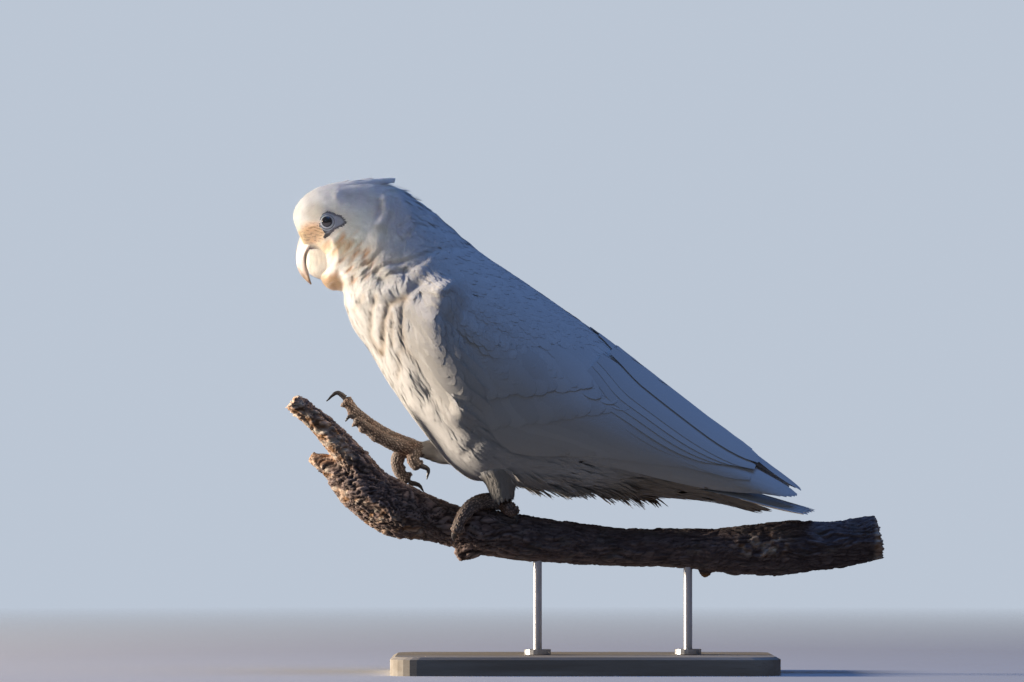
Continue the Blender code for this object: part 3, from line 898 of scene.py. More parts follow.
LIES = [  # the way that the coat lies, where that isn't simply backwards
    Spot(-134, 246, 27, 19, (-0.45, -0.90)),
    Spot(-121, 262, 17, 17, (0.10, -1), 0.8),
    Spot(-118, 236, 20, 12, (-0.35, -0.90), 0.8),
    Spot(-99, 208, 13, 24, (0.25, -1), 0.9),
    Spot(-151, 240, 9, 7, (0.25, -1), 0.7),
]
TINTS = [
    Spot(-155, 250, 28, 27, CREAM, 0.25),
    Spot(-162, 262, 11.5, 9.5, (0.93, 0.64, 0.37), 0.9),
    Spot(-169.5, 259.5, 7, 6.5, (0.92, 0.74, 0.44), 0.8),
    Spot(-151.5, 253.5, 13, 6, (0.84, 0.66, 0.40), 0.8),
    Spot(-143, 252, 8, 10, (0.80, 0.52, 0.30), 0.5),
    Spot(-133, 246, 17, 15, (0.82, 0.70, 0.57), 0.5),
    Spot(-151.5, 233, 12.5, 7.5, (0.68, 0.44, 0.24), 0.9),
    Spot(-160.5, 275, 9, 8, (0.50, 0.44, 0.36), 0.6),
]


@dataclass
class Body(OvalLoft):
    """The bird's whole outline, from the face to the tip of the tail, out to the tips of the feathers."""

    rows: Table = field(default_factory=lambda: [
        (-170, 260, -157, 233, 9.5, 0.50, 0.95, 0.95),  # face, round the root of the bill
        (-174.2, 275, -152, 229.5, 18.5, 0.45, 0.95, 0.95),  # forehead to chin
        (-165, 287.5, -147.5, 228.6, 21.5, 0.44, 0.92, 0.95),
        (-147, 292.6, -144, 227.5, 23, 0.45, 0.90, 0.95),  # crown to throat
        (-114.5, 291.4, -143.6, 220, 25.1, 0.48, 0.92, 0.90),  # nape to foreneck
        (-89.5, 275, -138.5, 206.5, 29.8, 0.50, 0.98, 0.86),
        (-64.5, 253.6, -128, 192, 39.5, 0.50, 1.05, 0.83),  # shoulders
        (-32, 231.5, -116, 171.5, 46, 0.50, 1.20, 0.80),
        (3, 206.8, -97.5, 145.8, 47, 0.49, 1.40, 0.80),  # deepest part of the breast
        (28, 187, -78, 124, 44, 0.48, 1.55, 0.84),
        (50, 169.5, -50, 114, 38.5, 0.47, 1.65, 0.92),  # thighs
        (80, 146.6, 8, 107, 30, 0.48, 1.60, 1.05),  # vent
        (110, 124.6, 70, 103, 23, 0.50, 1.40, 1.10),
        (128.5, 110.2, 108, 94.8, 22, 0.52, 1.20, 1.10),
        (139.6, 97, 137.5, 92.9, 23.5, 0.55, 1.10, 1.10),  # tip of the tail
    ])
    gape: tuple[float, float, float, float] = (-164.6, 246.2, 9.4, 9.8)  # centre x, z and half sizes
    gape_taper: float = 0.56
    wrist: float = 5.75
    wing_tip: float = 13.25
    wing_slant: float = 1.6
    shoulder_cover: float = 2.2  # how much further the coat runs over a wing's front than over its edges
    wing_round: float = 0.25
    ridge_overlap: tuple[float, ...] = (18, 18, 18, 18.5, 17, 15.5, 14.5, 13, 12)
    ridge_gap: float = 0.02
    lower_edge: tuple[float, ...] = (0.62, 0.77, 0.80, 0.79, 0.71, 0.655, 0.61, 0.50, 0.42)
    eye: tuple[float, float] = (-152.3, 268.3)  # x and z of the eyes
    fluff: float = 0.38  # how far soft ripples lift the coat, in millimetres
    strands: Spot = Spot(-142.0, 246.5, 25.0, 24.0, ())
    strand_slope: float = 50.0  # degrees

    def gape_distance(self, points: Array) -> Array:
        """How far from the middle of the gape a point is, as seen from the side; 1 is the gape's edge."""
        x, z, half_x, half_z = self.gape
        return np.hypot((points[..., 0] / MM - x) / half_x, (points[..., 2] / MM - z) / half_z)

    def point(self, place: Array, angle: Array) -> Array:
        """The point at each place and angle, with the cheeks drawn in towards the bill.

        Args:
            place, angle: where on the surface.

        Returns:
            The points, in metres.
        """
        points = super().point(place, angle)
        drawn = self.gape_taper * ease(2.0, 0.9, self.gape_distance(points))
        points[..., 1] *= 1 - drawn
        return points

    def rise(self, place: Array, angle: Array) -> Array:
        """How high the coat is lifted by its folds and by soft ripples along its lie.

        Args:
            place, angle: where on the surface.

        Returns:
            The height, in metres.
        """
        points = self.point(place, angle)
        total = sum(fold.rise(points) for fold in FOLDS)
        flat = np.stack([place * 28.0, angle * 32.0], axis=-1)
        loose = ease(3.2, 4.6, place) * ease(11.8, 10.6, place)
        lengthways = ripple(flat, (46.0, 10.0), 5) * ease(0.7, 1.5, np.abs(angle))
        across = ripple(flat, (13.0, 30.0), 6) * ease(1.9, 1.2, np.abs(angle)) * ease(6.6, 5.6, place)
        head = ease(1.3, 2.0, place) * ease(4.4, 3.4, place)
        soft = 0.18 * ripple(points, (9 * MM, 14 * MM, 9 * MM), 8)
        soft = soft + 0.05 * ripple(points, (2.6 * MM,) * 3, 9)
        total = total + self.fluff * MM * loose * (lengthways + across)
        return total + head * soft * MM + 0.55 * MM * self.streaks(points)

    def streaks(self, points: Array) -> Array:
        """The strands of the cheek's plumage: above zero on a strand and below zero between two.

        Args:
            points: where to read it.

        Returns:
            About -1 to 1 at each point.
        """
        slope = math.radians(self.strand_slope)
        x, z = points[..., 0] / MM, points[..., 2] / MM
        along, across = x * math.cos(slope) + z * math.sin(slope), z * math.cos(slope) - x * math.sin(slope)
        return self.strands.share(points) * ripple(np.stack([along, across], axis=-1), (15.0, 2.5), 17)

    def lie(self, points: Array, normals: Array, along: Array) -> Array:
        """The way that the coat lies at each point, along the surface.

        Args:
            points: points on the surface.
            normals: the outward normals there.
            along: the steps along the surface there.

        Returns:
            The directions, each of length 1.
        """
        way = unit(along)
        for spot in LIES:
            share = spot.share(points)[..., None]
            side = np.array([spot.value[0], 0.0, spot.value[1]])
            way = way * (1 - share) + side * share
        off = (points - np.array([*self.eye, 0.0])[[0, 2, 1]] * MM) * np.array([1.0, 0.0, 1.0])
        near = ease(14.0 * MM, 7.0 * MM, np.linalg.norm(off, axis=-1))[..., None]
        way = way + 0.9 * near * unit(off)
        way = way - normals * np.sum(way * normals, axis=-1, keepdims=True)
        return unit(way)

    def tint(self, points: Array, place: Array, angle: Array) -> Array:
        """The plumage's colour at each point, with painted shade in its creases, between the cheek's strands
        and on its underside, which the skin under it shares.

        Args:
            points: points of the skin or the coat.
            place, angle: where they are on the body.

        Returns:
            The colours.
        """
        colours = plain(WHITE, points)
        for spot in TINTS:
            colours = blend(colours, spot.value, spot.share(points))
        flecks = ease(0.15, 0.7, ripple(points, (2.2 * MM, 2.2 * MM, 1.5 * MM), 21)) * TINTS[1].share(points)
        colours = blend(colours, (0.36, 0.17, 0.08), 0.75 * flecks)
        # the underside of the vent and the tail: its buff wash darkened by painted shade
        below = ease(10.6, 11.3, place) * ease(1.75, 2.2, np.abs(angle))
        colours = blend(colours, BUFF_AND_SHADE, 0.85 * below)
        # tan in the creases, by their depth: partly feather bases, partly painted shade where the coat folds
        # in
        creases = sum(np.clip(-fold.rise(points) / MM, 0, 1) for fold in FOLDS if fold.height < 0)
        # tan between the cheek's strands and white on them: partly tinted feather bases under pale tips,
        # partly painted shade in the grooves and painted light on the ridges
        colours = blend(colours, (0.74, 0.47, 0.30), -0.8 * self.streaks(points))
        colours = blend(colours, WHITE, 0.6 * self.streaks(points))
        warm = ease(-95.0, -112.0, points[..., 0] / MM) * ease(240.0, 225.0, points[..., 2] / MM)
        return blend(colours, TAN_BASES_AND_SHADE, creases * (0.10 + 0.45 * warm))

    def nearest(self, points: Array) -> tuple[Array, Array]:
        """The places and the angles on the body that are nearest to some points.

        Args:
            points: the points.

        Returns:
            A place and an angle for each point.
        """
        rows, sides = 150, 84
        place = np.linspace(0, self.last, rows)
        angle = ring_angles(sides)
        tree = tree_of(self.point(place[:, None], angle).reshape(-1, 3))
        found = np.array([tree.find(at)[1] for at in points])
        return place[found // sides], angle[0, found % sides]

    def depth(self, points: Array) -> Array:
        """How deep inside the body some points are, in metres; outside it is below zero."""
        surface, normal, _, _ = self.frame(*self.nearest(points))
        return np.sum((surface - points) * normal, axis=-1)

    def angle_at_side(self, place: Array, distance: Array) -> Array:
        """The angle on the back where it is this far from the middle, in millimetres."""
        row = smooth(self.rows, place)
        return np.arcsin(np.clip(distance / row[..., 4], 0.0, 1.0) ** (1 / row[..., 6]))

    def wing_edges(self, side: int, place: Array) -> tuple[Array, Array]:
        """The angles of a wing's upper and lower edge; the right wing (side 1) crosses the middle.

        Args:
            side: -1 for the left wing, 1 for the right.
            place: where along the body.

        Returns:
            The angles of the upper and the lower edge.
        """
        at = place - self.wrist
        overlap = smooth(np.array(self.ridge_overlap)[:, None], at)[..., 0]
        depth = smooth(np.array(self.lower_edge)[:, None], at)[..., 0]
        ridge = self.angle_at_side(place, overlap)
        widest = smooth(self.rows, place)[..., 5]
        lower = np.arccos(1 - 2 * depth ** (math.log(0.5) / np.log(widest)))
        return (ridge + self.ridge_gap if side < 0 else -ridge), lower

    def under_wing(self, place: Array, angle: Array, margin: float) -> Array:
        """Whether a wing lies over the body there, by more than a margin in places.

        Args:
            place, angle: where on the body.
            margin: how far inside the wing's edges it has to be.

        Returns:
            True where it is covered.
        """
        covered = np.zeros(np.broadcast(place, angle).shape, bool)
        for side in (-1, 1):
            top, lower = self.wing_edges(side, place)
            across = (side * angle - top) / (lower - top)
            inside = (across > margin * 0.4) & (across < 1 - margin * 0.15)
            front = self.wrist + self.wing_slant * (1 - np.clip(across, 0, 1)) ** 1.5
            covered |= inside & (place > front + self.shoulder_cover * margin) & (place < self.wing_tip)
        return covered


@dataclass
class WingPatch(Surface):
    """One wing's part of the body's outline: the place runs 0 to 1 to its tip, the angle 0 to 1 down it."""

    body: Body
    side: int
    count: int = 72

    def __post_init__(self) -> None:
        """Works out the body's places and angles on an even grid over the wing."""
        share = np.linspace(0, 1, self.count)[:, None]
        across = np.linspace(0, 1, 4 * self.count)[None, :]
        body = self.body
        front = body.wrist + body.wing_slant * (1 - across) ** 1.5
        tip = body.wing_tip - body.wing_round * (2 * across - 1) ** 2
        place = front + (tip - front) * share
        top, lower = body.wing_edges(self.side, place)
        angle = top + (lower - top) * across
        points = body.point(place, angle)
        steps = np.linalg.norm(np.diff(points, axis=1), axis=-1)
        run = np.concatenate([np.zeros((self.count, 1)), np.cumsum(steps, axis=1)], axis=1)
        self.girth = run[:, -1]
        even = np.linspace(0, 1, self.count)
        self.grid = np.array([
            np.column_stack([np.interp(even, r / r[-1], p), np.interp(even, r / r[-1], a)])
            for r, p, a in zip(run, place, angle)
        ])

    def on_body(self, place: Array, angle: Array) -> tuple[Array, Array]:
        """The body's place and angle at a place and an angle of the wing.

        Args:
            place, angle: where on the wing.

        Returns:
            The place and the angle on the body.
        """
        place, angle = pairs(place, angle)
        at, to = np.clip(place, 0, 1) * (self.count - 1), np.clip(angle, 0, 1) * (self.count - 1)
        i, j = np.minimum(at.astype(int), self.count - 2), np.minimum(to.astype(int), self.count - 2)
        s, t = (at - i)[..., None], (to - j)[..., None]
        grid = self.grid
        low = grid[i, j] * (1 - t) + grid[i, j + 1] * t
        high = grid[i + 1, j] * (1 - t) + grid[i + 1, j + 1] * t
        found = low * (1 - s) + high * s
        beyond = np.maximum(place - 1, 0) * (self.body.wing_tip - self.body.wrist)
        over = (angle - np.clip(angle, 0, 1)) * (grid[i, -1, 1] - grid[i, 0, 1])
        return found[..., 0] + beyond, self.side * (found[..., 1] + over)

    def point(self, place: Array, angle: Array) -> Array:
        """The point at each place and angle of the wing."""
        return self.body.point(*self.on_body(place, angle))

    def frame(self, place: Array, angle: Array) -> tuple[Array, Array, Array, Array]:
        """As for any surface, with the body's own normal."""
        point, _, along, around = super().frame(place, angle)
        return point, self.body.frame(*self.on_body(place, angle))[1], along, around

    def rise(self, place: Array, angle: Array) -> Array:
        """The coat's own rise, on the front of the wing only."""
        return self.body.rise(*self.on_body(place, angle)) * ease(0.45, 0.2, place)


# === The coat ===
@dataclass(frozen=True)
class Vane:
    """The outline and the section of one kind of feather or scale. Sizes are in millimetres."""

    rows: int = 7
    columns: int = 3
    root: float = 0.35  # share of the full width at the root
    widest: float = 0.55  # where along it the full width is reached
    blunt: float = 2.4  # how blunt the tip is
    tip: float = 0.16  # share of the width that is left at the tip
    thick: float = 0.16
    ragged: float = 0.0
    sink: float = 2.0  # how deep the root lies
    stir: float = 0.025  # how unevenly they lie
    cup: float = 0.08  # how far the edges drop, as a share of the half width

    def shares(self) -> Array:
        """Where along the vane its cross rows lie, closer together towards the tip."""
        return 1 - (1 - np.linspace(0, 1, self.rows)) ** 1.3

    def outline(self, t: Array) -> Array:
        """The share of the full width at each share of the length.

        Args:
            t: the share of the length.

        Returns:
            The share of the width, from 0 to 1.
        """
        opening = self.root + (1 - self.root) * ease(0.0, self.widest, t)
        closing = (1 - np.clip((t - self.widest) / (1 - self.widest), 0, 1) ** self.blunt) ** 0.6
        return opening * np.maximum(closing, self.tip)


@dataclass
class Roots:
    """Where feathers grow and how big they are. Lengths, half widths and lifts are in metres."""

    place: Array
    angle: Array
    length: Array
    half: Array
    lift: Array
    swing: Array  # how far each one turns from the coat's lie, in radians

    def some(self, chosen: Array) -> "Roots":
        """Only the chosen ones."""
        return Roots(*(value[chosen] for value in vars(self).values()))


@dataclass
class Course:
    """The places and the angles along some feathers that don't follow the coat, and how high they lie."""

    places: Array
    angles: Array
    height: Array


def scatter(
    surface: Surface, places: tuple[float, float], angles: tuple[float, float], spacing: Reading, seed: int
) -> tuple[Array, Array]:
    """Spreads roots evenly over a surface, at a spacing that may change from place to place.

    Args:
        surface: what they grow on.
        places: the first and the last place.
        angles: the first and the last angle.
        spacing: gives the distance between neighbours, in metres, or 0 where none grows.
        seed: which random spread.

    Returns:
        The places and the angles of the roots.
    """
    rng = np.random.default_rng(seed)

    def density(place: Array, angle: Array) -> tuple[Array, Array, Array]:
        """Candidates for each unit of place and angle, with their points and gaps.

        Args:
            place, angle: where to try.

        Returns:
            How thickly they grow, the points and the gaps.
        """
        point, _, along, around = surface.frame(place, angle)
        gap = spacing(point, place, angle)
        area = np.linalg.norm(np.cross(along, around), axis=-1)
        return np.where(gap > 0, 5.0 * area / np.maximum(gap, 1e-5) ** 2, 0.0), point, gap

    size = (places[1] - places[0]) * (angles[1] - angles[0])
    trial = density(rng.uniform(*places, 6000), rng.uniform(*angles, 6000))[0]
    most = np.quantile(trial, 0.995) * 1.15
    tries = int(most * size)
    place, angle = rng.uniform(*places, tries), rng.uniform(*angles, tries)
    thick, point, gap = density(place, angle)
    chosen = rng.random(tries) * most < thick
    place, angle, point, gap = place[chosen], angle[chosen], point[chosen], gap[chosen]
    tree = tree_of(point)
    free = np.ones(len(point), bool)
    kept = []
    for i, at in enumerate(point):
        if free[i]:
            kept.append(i)
            free[[found[1] for found in tree.find_range(at, gap[i])]] = False
    return place[kept], angle[kept]


def overlapped(length: Array, half: Array, layers: float) -> Array:
    """The gap between neighbours of this size that lie this many layers deep."""
    return np.sqrt(length * 2 * half / layers)


def vane_mesh(top: Array, bottom: Array, tint: Array, vane: Array, patch: Array) -> MeshData:
    """Closed thin vanes, each with a lens-shaped section.

    Args:
        top: vanes by rows by columns of points on the upper face, rows running to the tip.
        bottom: the same on the lower face; its border is taken from the upper one.
        tint: a colour for each point.
        vane: across, along and a random number for each point.
        patch: the root's place on the skin's unwrap for each vane.

    Returns:
        All the vanes as one mesh.
    """
    count, rows, columns = top.shape[:3]
    over = np.arange(rows * columns).reshape(rows, columns)
    under = over.copy()
    inner = (rows - 2) * (columns - 2)
    under[1:-1, 1:-1] = rows * columns + np.arange(inner).reshape(rows - 2, columns - 2)
    upper = np.stack([over[:-1, :-1], over[1:, :-1], over[1:, 1:], over[:-1, 1:]], -1).reshape(-1, 4)
    lower = np.stack([under[:-1, :-1], under[:-1, 1:], under[1:, 1:], under[1:, :-1]], -1).reshape(-1, 4)
    quads = np.concatenate([upper, lower])
    each = rows * columns + inner

    def both(values: Array) -> Array:
        """Values on the upper face followed by those of the lower face's inner points.

        Args:
            values: one row for each point of the upper face.

        Returns:
            One row for each point of the mesh.
        """
        width = values.shape[-1]
        return np.concatenate([values.reshape(count, -1, width),
                               values[:, 1:-1, 1:-1].reshape(count, -1, width)], axis=1).reshape(-1, width)

    points = np.concatenate([top.reshape(count, -1, 3), bottom[:, 1:-1, 1:-1].reshape(count, -1, 3)], axis=1)
    loops = (quads.ravel()[None, :] + np.arange(count)[:, None] * each).ravel()
    border = np.ones((rows, columns), bool)
    border[1:-1, 1:-1] = False
    rim = np.concatenate([border.ravel(), np.zeros(inner, bool)])
    offset = vane[..., :2] * np.array([0.5, 1.0]) - np.array([0.0, 0.5])
    places = np.concatenate([np.broadcast_to(patch[:, None, None, :], offset.shape), offset], axis=-1)
    held = (both(tint), both(vane), both(places), np.tile(rim, count))
    return MeshData(points.reshape(-1, 3), loops, np.full(count * len(quads), 4), *held)


def trace(surface: Surface, roots: Roots, kind: Vane) -> tuple[Array, ...]:
    """Follows the lie of the coat from each root to the tip of its feather.

    Args:
        surface: what they lie on.
        roots: where they grow.
        kind: their outline, for the rows.

    Returns:
        For each feather and row: the centre, the normal, the way ahead, the place and the angle.
    """
    t = kind.shares()
    place, angle = roots.place.copy(), roots.angle.copy()
    stuck = np.zeros(len(place), bool)
    steps = np.diff(t, append=1.0)
    rows, point = [], None
    for step in steps:
        on, normal, along, around = surface.frame(place, angle)
        point = on if point is None else np.where(stuck[:, None], point, on)
        flow = surface.lie(on, normal, along)
        side = np.cross(normal, flow)
        flow = flow * np.cos(roots.swing)[:, None] + side * np.sin(roots.swing)[:, None]
        rows.append((point, normal, flow, place, angle))
        far = step * roots.length
        point = point + flow * far[:, None]
        g11, g12 = np.sum(along * along, -1), np.sum(along * around, -1)
        g22 = np.sum(around * around, -1) + (0.4 * MM) ** 2
        h1, h2 = np.sum(along * flow, -1) * far, np.sum(around * flow, -1) * far
        det = g11 * g22 - g12 * g12
        ahead = place + np.clip((g22 * h1 - g12 * h2) / det, -0.6, 0.6)
        angle = angle + np.clip((g11 * h2 - g12 * h1) / det, -0.3, 0.3)
        place = np.clip(ahead, surface.first, surface.last)
        stuck = stuck | (place != ahead)
    return tuple(np.stack(values, 1) for values in zip(*rows))


def lay(
    surface: Surface, roots: Roots, kind: Vane, colour: Reading, seed: int, course: Course | None = None
) -> MeshData:
    """Lays one feather or scale at each root, along the surface.

    Args:
        surface: what they lie on.
        roots: where they grow.
        kind: their outline and section.
        colour: gives their colour.
        seed: which random variation.
        course: where they run, if they don't follow the lie of the coat.

    Returns:
        The feathers as one mesh.
    """
    rng = np.random.default_rng(seed)
    count, t = len(roots.place), kind.shares()
    s = np.linspace(-1, 1, kind.columns)
    if course:
        places, angles = course.places, course.angles
        centre, normal, _, _ = surface.frame(places, angles)
        ahead = unit(np.gradient(centre, axis=1))
    else:
        centre, normal, ahead, places, angles = trace(surface, roots, kind)
    across = unit(np.cross(normal, ahead))
    uneven = 1 - kind.ragged * rng.random((count, kind.rows, kind.columns)) * (np.abs(s) > 0.9)
    uneven[:, 0] = 1
    offset = s * kind.outline(t)[None, :, None] * roots.half[:, None, None] * uneven
    shift = 0.5 * kind.ragged * (rng.random((count, kind.rows, kind.columns)) - 0.5)
    shift *= (t[1] * roots.length[:, None] * ease(0.3, 1.0, t)[None, :])[..., None]
    high = surface.rise(places, angles) + (course.height if course else 0) + roots.lift[:, None] * t**2
    high = high - kind.sink * MM * (1 - t) ** 1.5 + rng.normal(0, kind.stir * MM, (count, 1)) * t
    drop = kind.cup * np.abs(offset) * np.abs(s)
    body = kind.thick * MM * (1 - s**2) * (1 - 0.6 * t[:, None] ** 3)
    mid = centre[:, :, None, :] + across[:, :, None, :] * offset[..., None]
    out = normal[:, :, None, :]
    if course:  # a broad feather bends round the surface
        step = surface.frame(places, angles + 0.01)[0] - surface.frame(places, angles - 0.01)[0]
        turn = np.sum(step * across, axis=-1) / 0.02
        mid, out, _, _ = surface.frame(places[..., None], angles[..., None] + offset / turn[..., None])
        slip = np.sum((mid - centre[:, :, None, :]) * ahead[:, :, None, :], axis=-1)
        mid = mid - ahead[:, :, None, :] * slip[..., None]
    mid = mid + ahead[:, :, None, :] * shift[..., None]
    top = mid + out * (high[..., None] - drop + body / 2)[..., None]
    bottom = mid + out * (high[..., None] - drop - body / 2)[..., None]
    tint = colour(top, places[..., None], angles[..., None])
    tint = tint * (1 + rng.normal(0, 0.025, (count, 1, 1, 1)))
    ones = np.ones((count, kind.rows, kind.columns))
    vane = np.stack([s * ones, t[:, None] * ones, rng.random((count, 1, 1)) * ones], -1)
    return vane_mesh(top, bottom, tint, vane, np.column_stack([places[:, 0], angles[:, 0]]))


@dataclass(frozen=True)
class Tract:
    """One piece of the body's coat: where its feathers grow, and how many deep they lie."""

    name: str
    places: tuple[float, float]
    kind: Vane
    layers: float


@dataclass
class Coat:
    """The small feathers of the body, from bristles on the face to plumes at the vent."""

    body: Body
    sizes: tuple[tuple[float, float], ...] = (  # length and half width at each place along the body
        (2.6, 0.38), (3.2, 0.45), (4.2, 0.60), (6.5, 0.80), (9, 1), (12, 1.2), (14, 1.35),
        (15, 1.45), (16, 1.5), (16, 1.5), (18, 1.9), (22, 2.5), (22, 2.6), (20, 2.5),
        (20, 2.5),
    )
    back: tuple[float, float] = (17.0, 3.2)  # the same on the back of the neck and between the wings
    cheek: Spot = Spot(-134.0, 245.0, 30.0, 21.0, (8.0, 0.72))
    lores: Spot = Spot(-160.0, 258.0, 15.0, 15.0, (3.0, 0.40))
    eyelid: Spot = Spot(-153.0, 269.0, 19.0, 19.0, (2.5, 0.42))
    vent_lift: float = 0.9
    nape_lift: float = 2.2
    tracts: tuple[Tract, ...] = (
        Tract("coat_face", (0, 2.1), Vane(5, 3, sink=0.45, thick=0.1, ragged=0.1, stir=0.09), 7),
        Tract("coat_head", (2.1, 3.4), Vane(5, 3, sink=0.45, thick=0.06, ragged=0.1), 9),
        Tract("coat_nape", (3.4, 4.7), Vane(6, 3, sink=0.5, thick=0.06, ragged=0.1), 11),
        Tract("coat_neck", (4.7, 6.1), Vane(7, 3, sink=0.5, thick=0.05, ragged=0.06), 12),
        Tract("coat_breast", (6.1, 8), Vane(7, 3, sink=0.55, thick=0.05, ragged=0.1), 13),
        Tract("coat_belly", (8, 10), Vane(7, 3, sink=0.6, thick=0.06, ragged=0.2), 13),
        Tract("coat_vent", (10, 12.4), Vane(9, 5, sink=0.9, thick=0.1, ragged=0.35), 8),
    )

    def size(self, points: Array, place: Array, angle: Array) -> tuple[Array, Array]:
        """The length and the half width of the feathers at each point, in metres.

        Args:
            points: where they grow.
            place, angle: the same on the body.

        Returns:
            The lengths and the half widths.
        """
        both = smooth(self.sizes, place)
        share = (ease(1.25, 0.8, np.abs(angle)) * ease(4.2, 5.6, place))[..., None]
        both = both * (1 - share) + np.array(self.back) * share
        for spot in (self.cheek, self.lores, self.eyelid):
            both = blend(both, spot.value, spot.share(points))
        return both[..., 0] * MM, both[..., 1] * MM

    def eye_patch(self, points: Array) -> Array:
        """How far inside the bare skin round the eye a point is: below 1 no feather grows from it.

        Args:
            points: where to read it.

        Returns:
            The distance from the eye; 1 is the edge of the bare skin.
        """
        x, z = points[..., 0] - self.body.eye[0] * MM, points[..., 2] - self.body.eye[1] * MM
        away = ease(2.0, 6.0, (0.8 * x - 0.6 * z) / MM)  # behind the eye the roots lie on the skin's rim
        return np.hypot(x, z) / EyeSkin.reach(np.arctan2(z, x)) + 0.2 * away

    def bare(self, points: Array, place: Array, angle: Array) -> Array:
        """Whether no feather grows there: round the eye, inside the gape and under the wings.

        Args:
            points: where it would grow.
            place, angle: the same on the body.

        Returns:
            True where the body is bare.
        """
        eye = (self.eye_patch(points) < 1.02) & (place < 4.0)
        mouth = (self.body.gape_distance(points) < 0.99) & (place < 2.5)
        tail = np.abs(angle) < 1.6 + 0.66 * ease(10.4, 11.6, place)
        return eye | mouth | (tail & (place > 10.0)) | self.body.under_wing(place, angle, 0.35)

    def build(self) -> None:
        """Builds each tract of the coat as one piece."""
        for number, tract in enumerate(self.tracts):

            def spacing(points: Array, place: Array, angle: Array) -> Array:
                """Closer where the feathers are smaller, and none where the body is bare."""
                gap = overlapped(*self.size(points, place, angle), tract.layers)
                return np.where(self.bare(points, place, angle), 0.0, gap)

            place, angle = scatter(self.body, tract.places, (-math.pi, math.pi), spacing, 40 + number)
            points = self.body.point(place, angle)
            length, half = self.size(points, place, angle)
            rng = np.random.default_rng(60 + number)
            count = len(place)
            vent = hill(place, 10.9, 1.5) * ease(2.2, 2.7, np.abs(angle))
            loose = hill(place, 4.1, 0.8) * hill(angle, 0.0, 0.8) * (rng.random(count) < 0.16)
            lift = (0.04 + self.vent_lift * vent * rng.random(count) + self.nape_lift * loose) * MM
            length = length * rng.uniform(0.85, 1.15, count)
            half = half * rng.uniform(0.85, 1.15, count)
            roots = Roots(place, angle, length, half, lift, rng.normal(0, 0.12 + 0.1 * vent, count))
            data = lay(self.body, roots, tract.kind, self.body.tint, 80 + number)
            data.shown(tract.name, PlumageFinish(), "plumage")


@dataclass
class Tufts:
    """Loose plumes that hang in bunches from the flank and the vent behind the standing leg."""

    body: Body
    bunches: int = 38
    each: int = 12
    places: tuple[float, float] = (9.3, 11.3)
    angles: tuple[float, float] = (2.45, 3.05)
    lengths: tuple[float, float] = (17.0, 24.0)
    halves: tuple[float, float] = (1.4, 2.6)
    kind: Vane = Vane(12, 5, root=0.5, blunt=2.0, tip=0.08, thick=0.12, ragged=0.5, sink=1.0, cup=0.2)

    def build(self) -> None:
        """Builds the plumes as one piece."""
        rng = np.random.default_rng(91)
        which = np.repeat(np.arange(self.bunches), self.each)
        count = len(which)
        place = rng.uniform(*self.places, self.bunches)[which] + rng.normal(0, 0.05, count)
        side = rng.choice((-1, 1), self.bunches)
        angle = (rng.uniform(*self.angles, self.bunches) * side)[which] + rng.normal(0, 0.05, count)
        length = rng.uniform(*self.lengths, self.bunches)[which] * rng.uniform(0.8, 1.1, count) * MM
        half = rng.uniform(*self.halves, count) * MM
        lift = (1.5 + 6.5 * rng.random(self.bunches)[which] * rng.uniform(0.6, 1.1, count)) * MM
        swing = rng.normal(0, 0.12, self.bunches)[which] + rng.normal(0, 0.07, count)
        roots = Roots(place, angle, length, half, lift, swing)
        data = lay(self.body, roots, self.kind, self.body.tint, 92)
        # painted shade: each plume turns brownish grey towards its hanging tip
        data.tint = blend(data.tint, (0.55, 0.44, 0.34), 0.5 * data.vane[:, 1])
        data.shown("coat_tufts", PlumageFinish(), "plumage")


@dataclass
class Skin:
    """The one skin that carries the coat, over head, neck, trunk and thighs."""

    body: Body
    thighs: tuple[Limb, ...]
    rows: int = 150
    sides: int = 84
    voxel: float = 1.25 * MM
    thigh_depth: float = 1.6 * MM
    end: float = 12.0  # where the flesh of the tail ends
    depths: tuple[float, ...] = (0.6, 0.65, 0.7, 0.8, 0.9, 1, 1, 1, 1, 1.1, 1.3, 1.6, 1.8, 1.8, 1.8)

    def build(self) -> None:
        """Builds the skin, which stands for all the nodes of flesh."""
        body = self.body
        place = np.linspace(0.0, self.end, self.rows)
        grid = pairs(place[:, None], ring_angles(self.sides))
        depth = smooth(np.array(self.depths)[:, None], place)[:, None, 0] * MM
        covered = body.under_wing(*grid, 0.15)
        lift = body.rise(*grid)
        trunk = body.solid(place, self.sides, lift - depth - 1.6 * MM * covered)
        rings = trunk.points[:-2].reshape(self.rows, self.sides, 3)
        core = body.point(place, 0 * place + 0.62 * math.pi) * np.array([1.0, 0.0, 1.0])
        taper = (0.97 * ease(10.2, self.end, place))[:, None, None]
        rings = rings * (1 - taper) + core[:, None, :] * taper
        parts = [ring_solid(rings)]
        for thigh in self.thighs:
            parts.append(thigh.solid(np.linspace(0, thigh.last, 30), 24, -self.thigh_depth))
        points, _, quads = as_one(parts, self.voxel, "skin")
        tint = body.tint(points, *body.nearest(points))
        # painted shade: the skin in the gape between the bills is made near black
        mouth = ease(1.12, 0.8, body.gape_distance(points)) * (points[:, 0] < -0.150)
        tint = blend(tint, (0.16, 0.12, 0.12), mouth)
        data = MeshData(points, quads.ravel(), np.full(len(quads), 4), tint)
        data.shown("skin", SkinFinish(), "plumage", ("head", "neck", "trunk", "thigh_left", "thigh_right"))


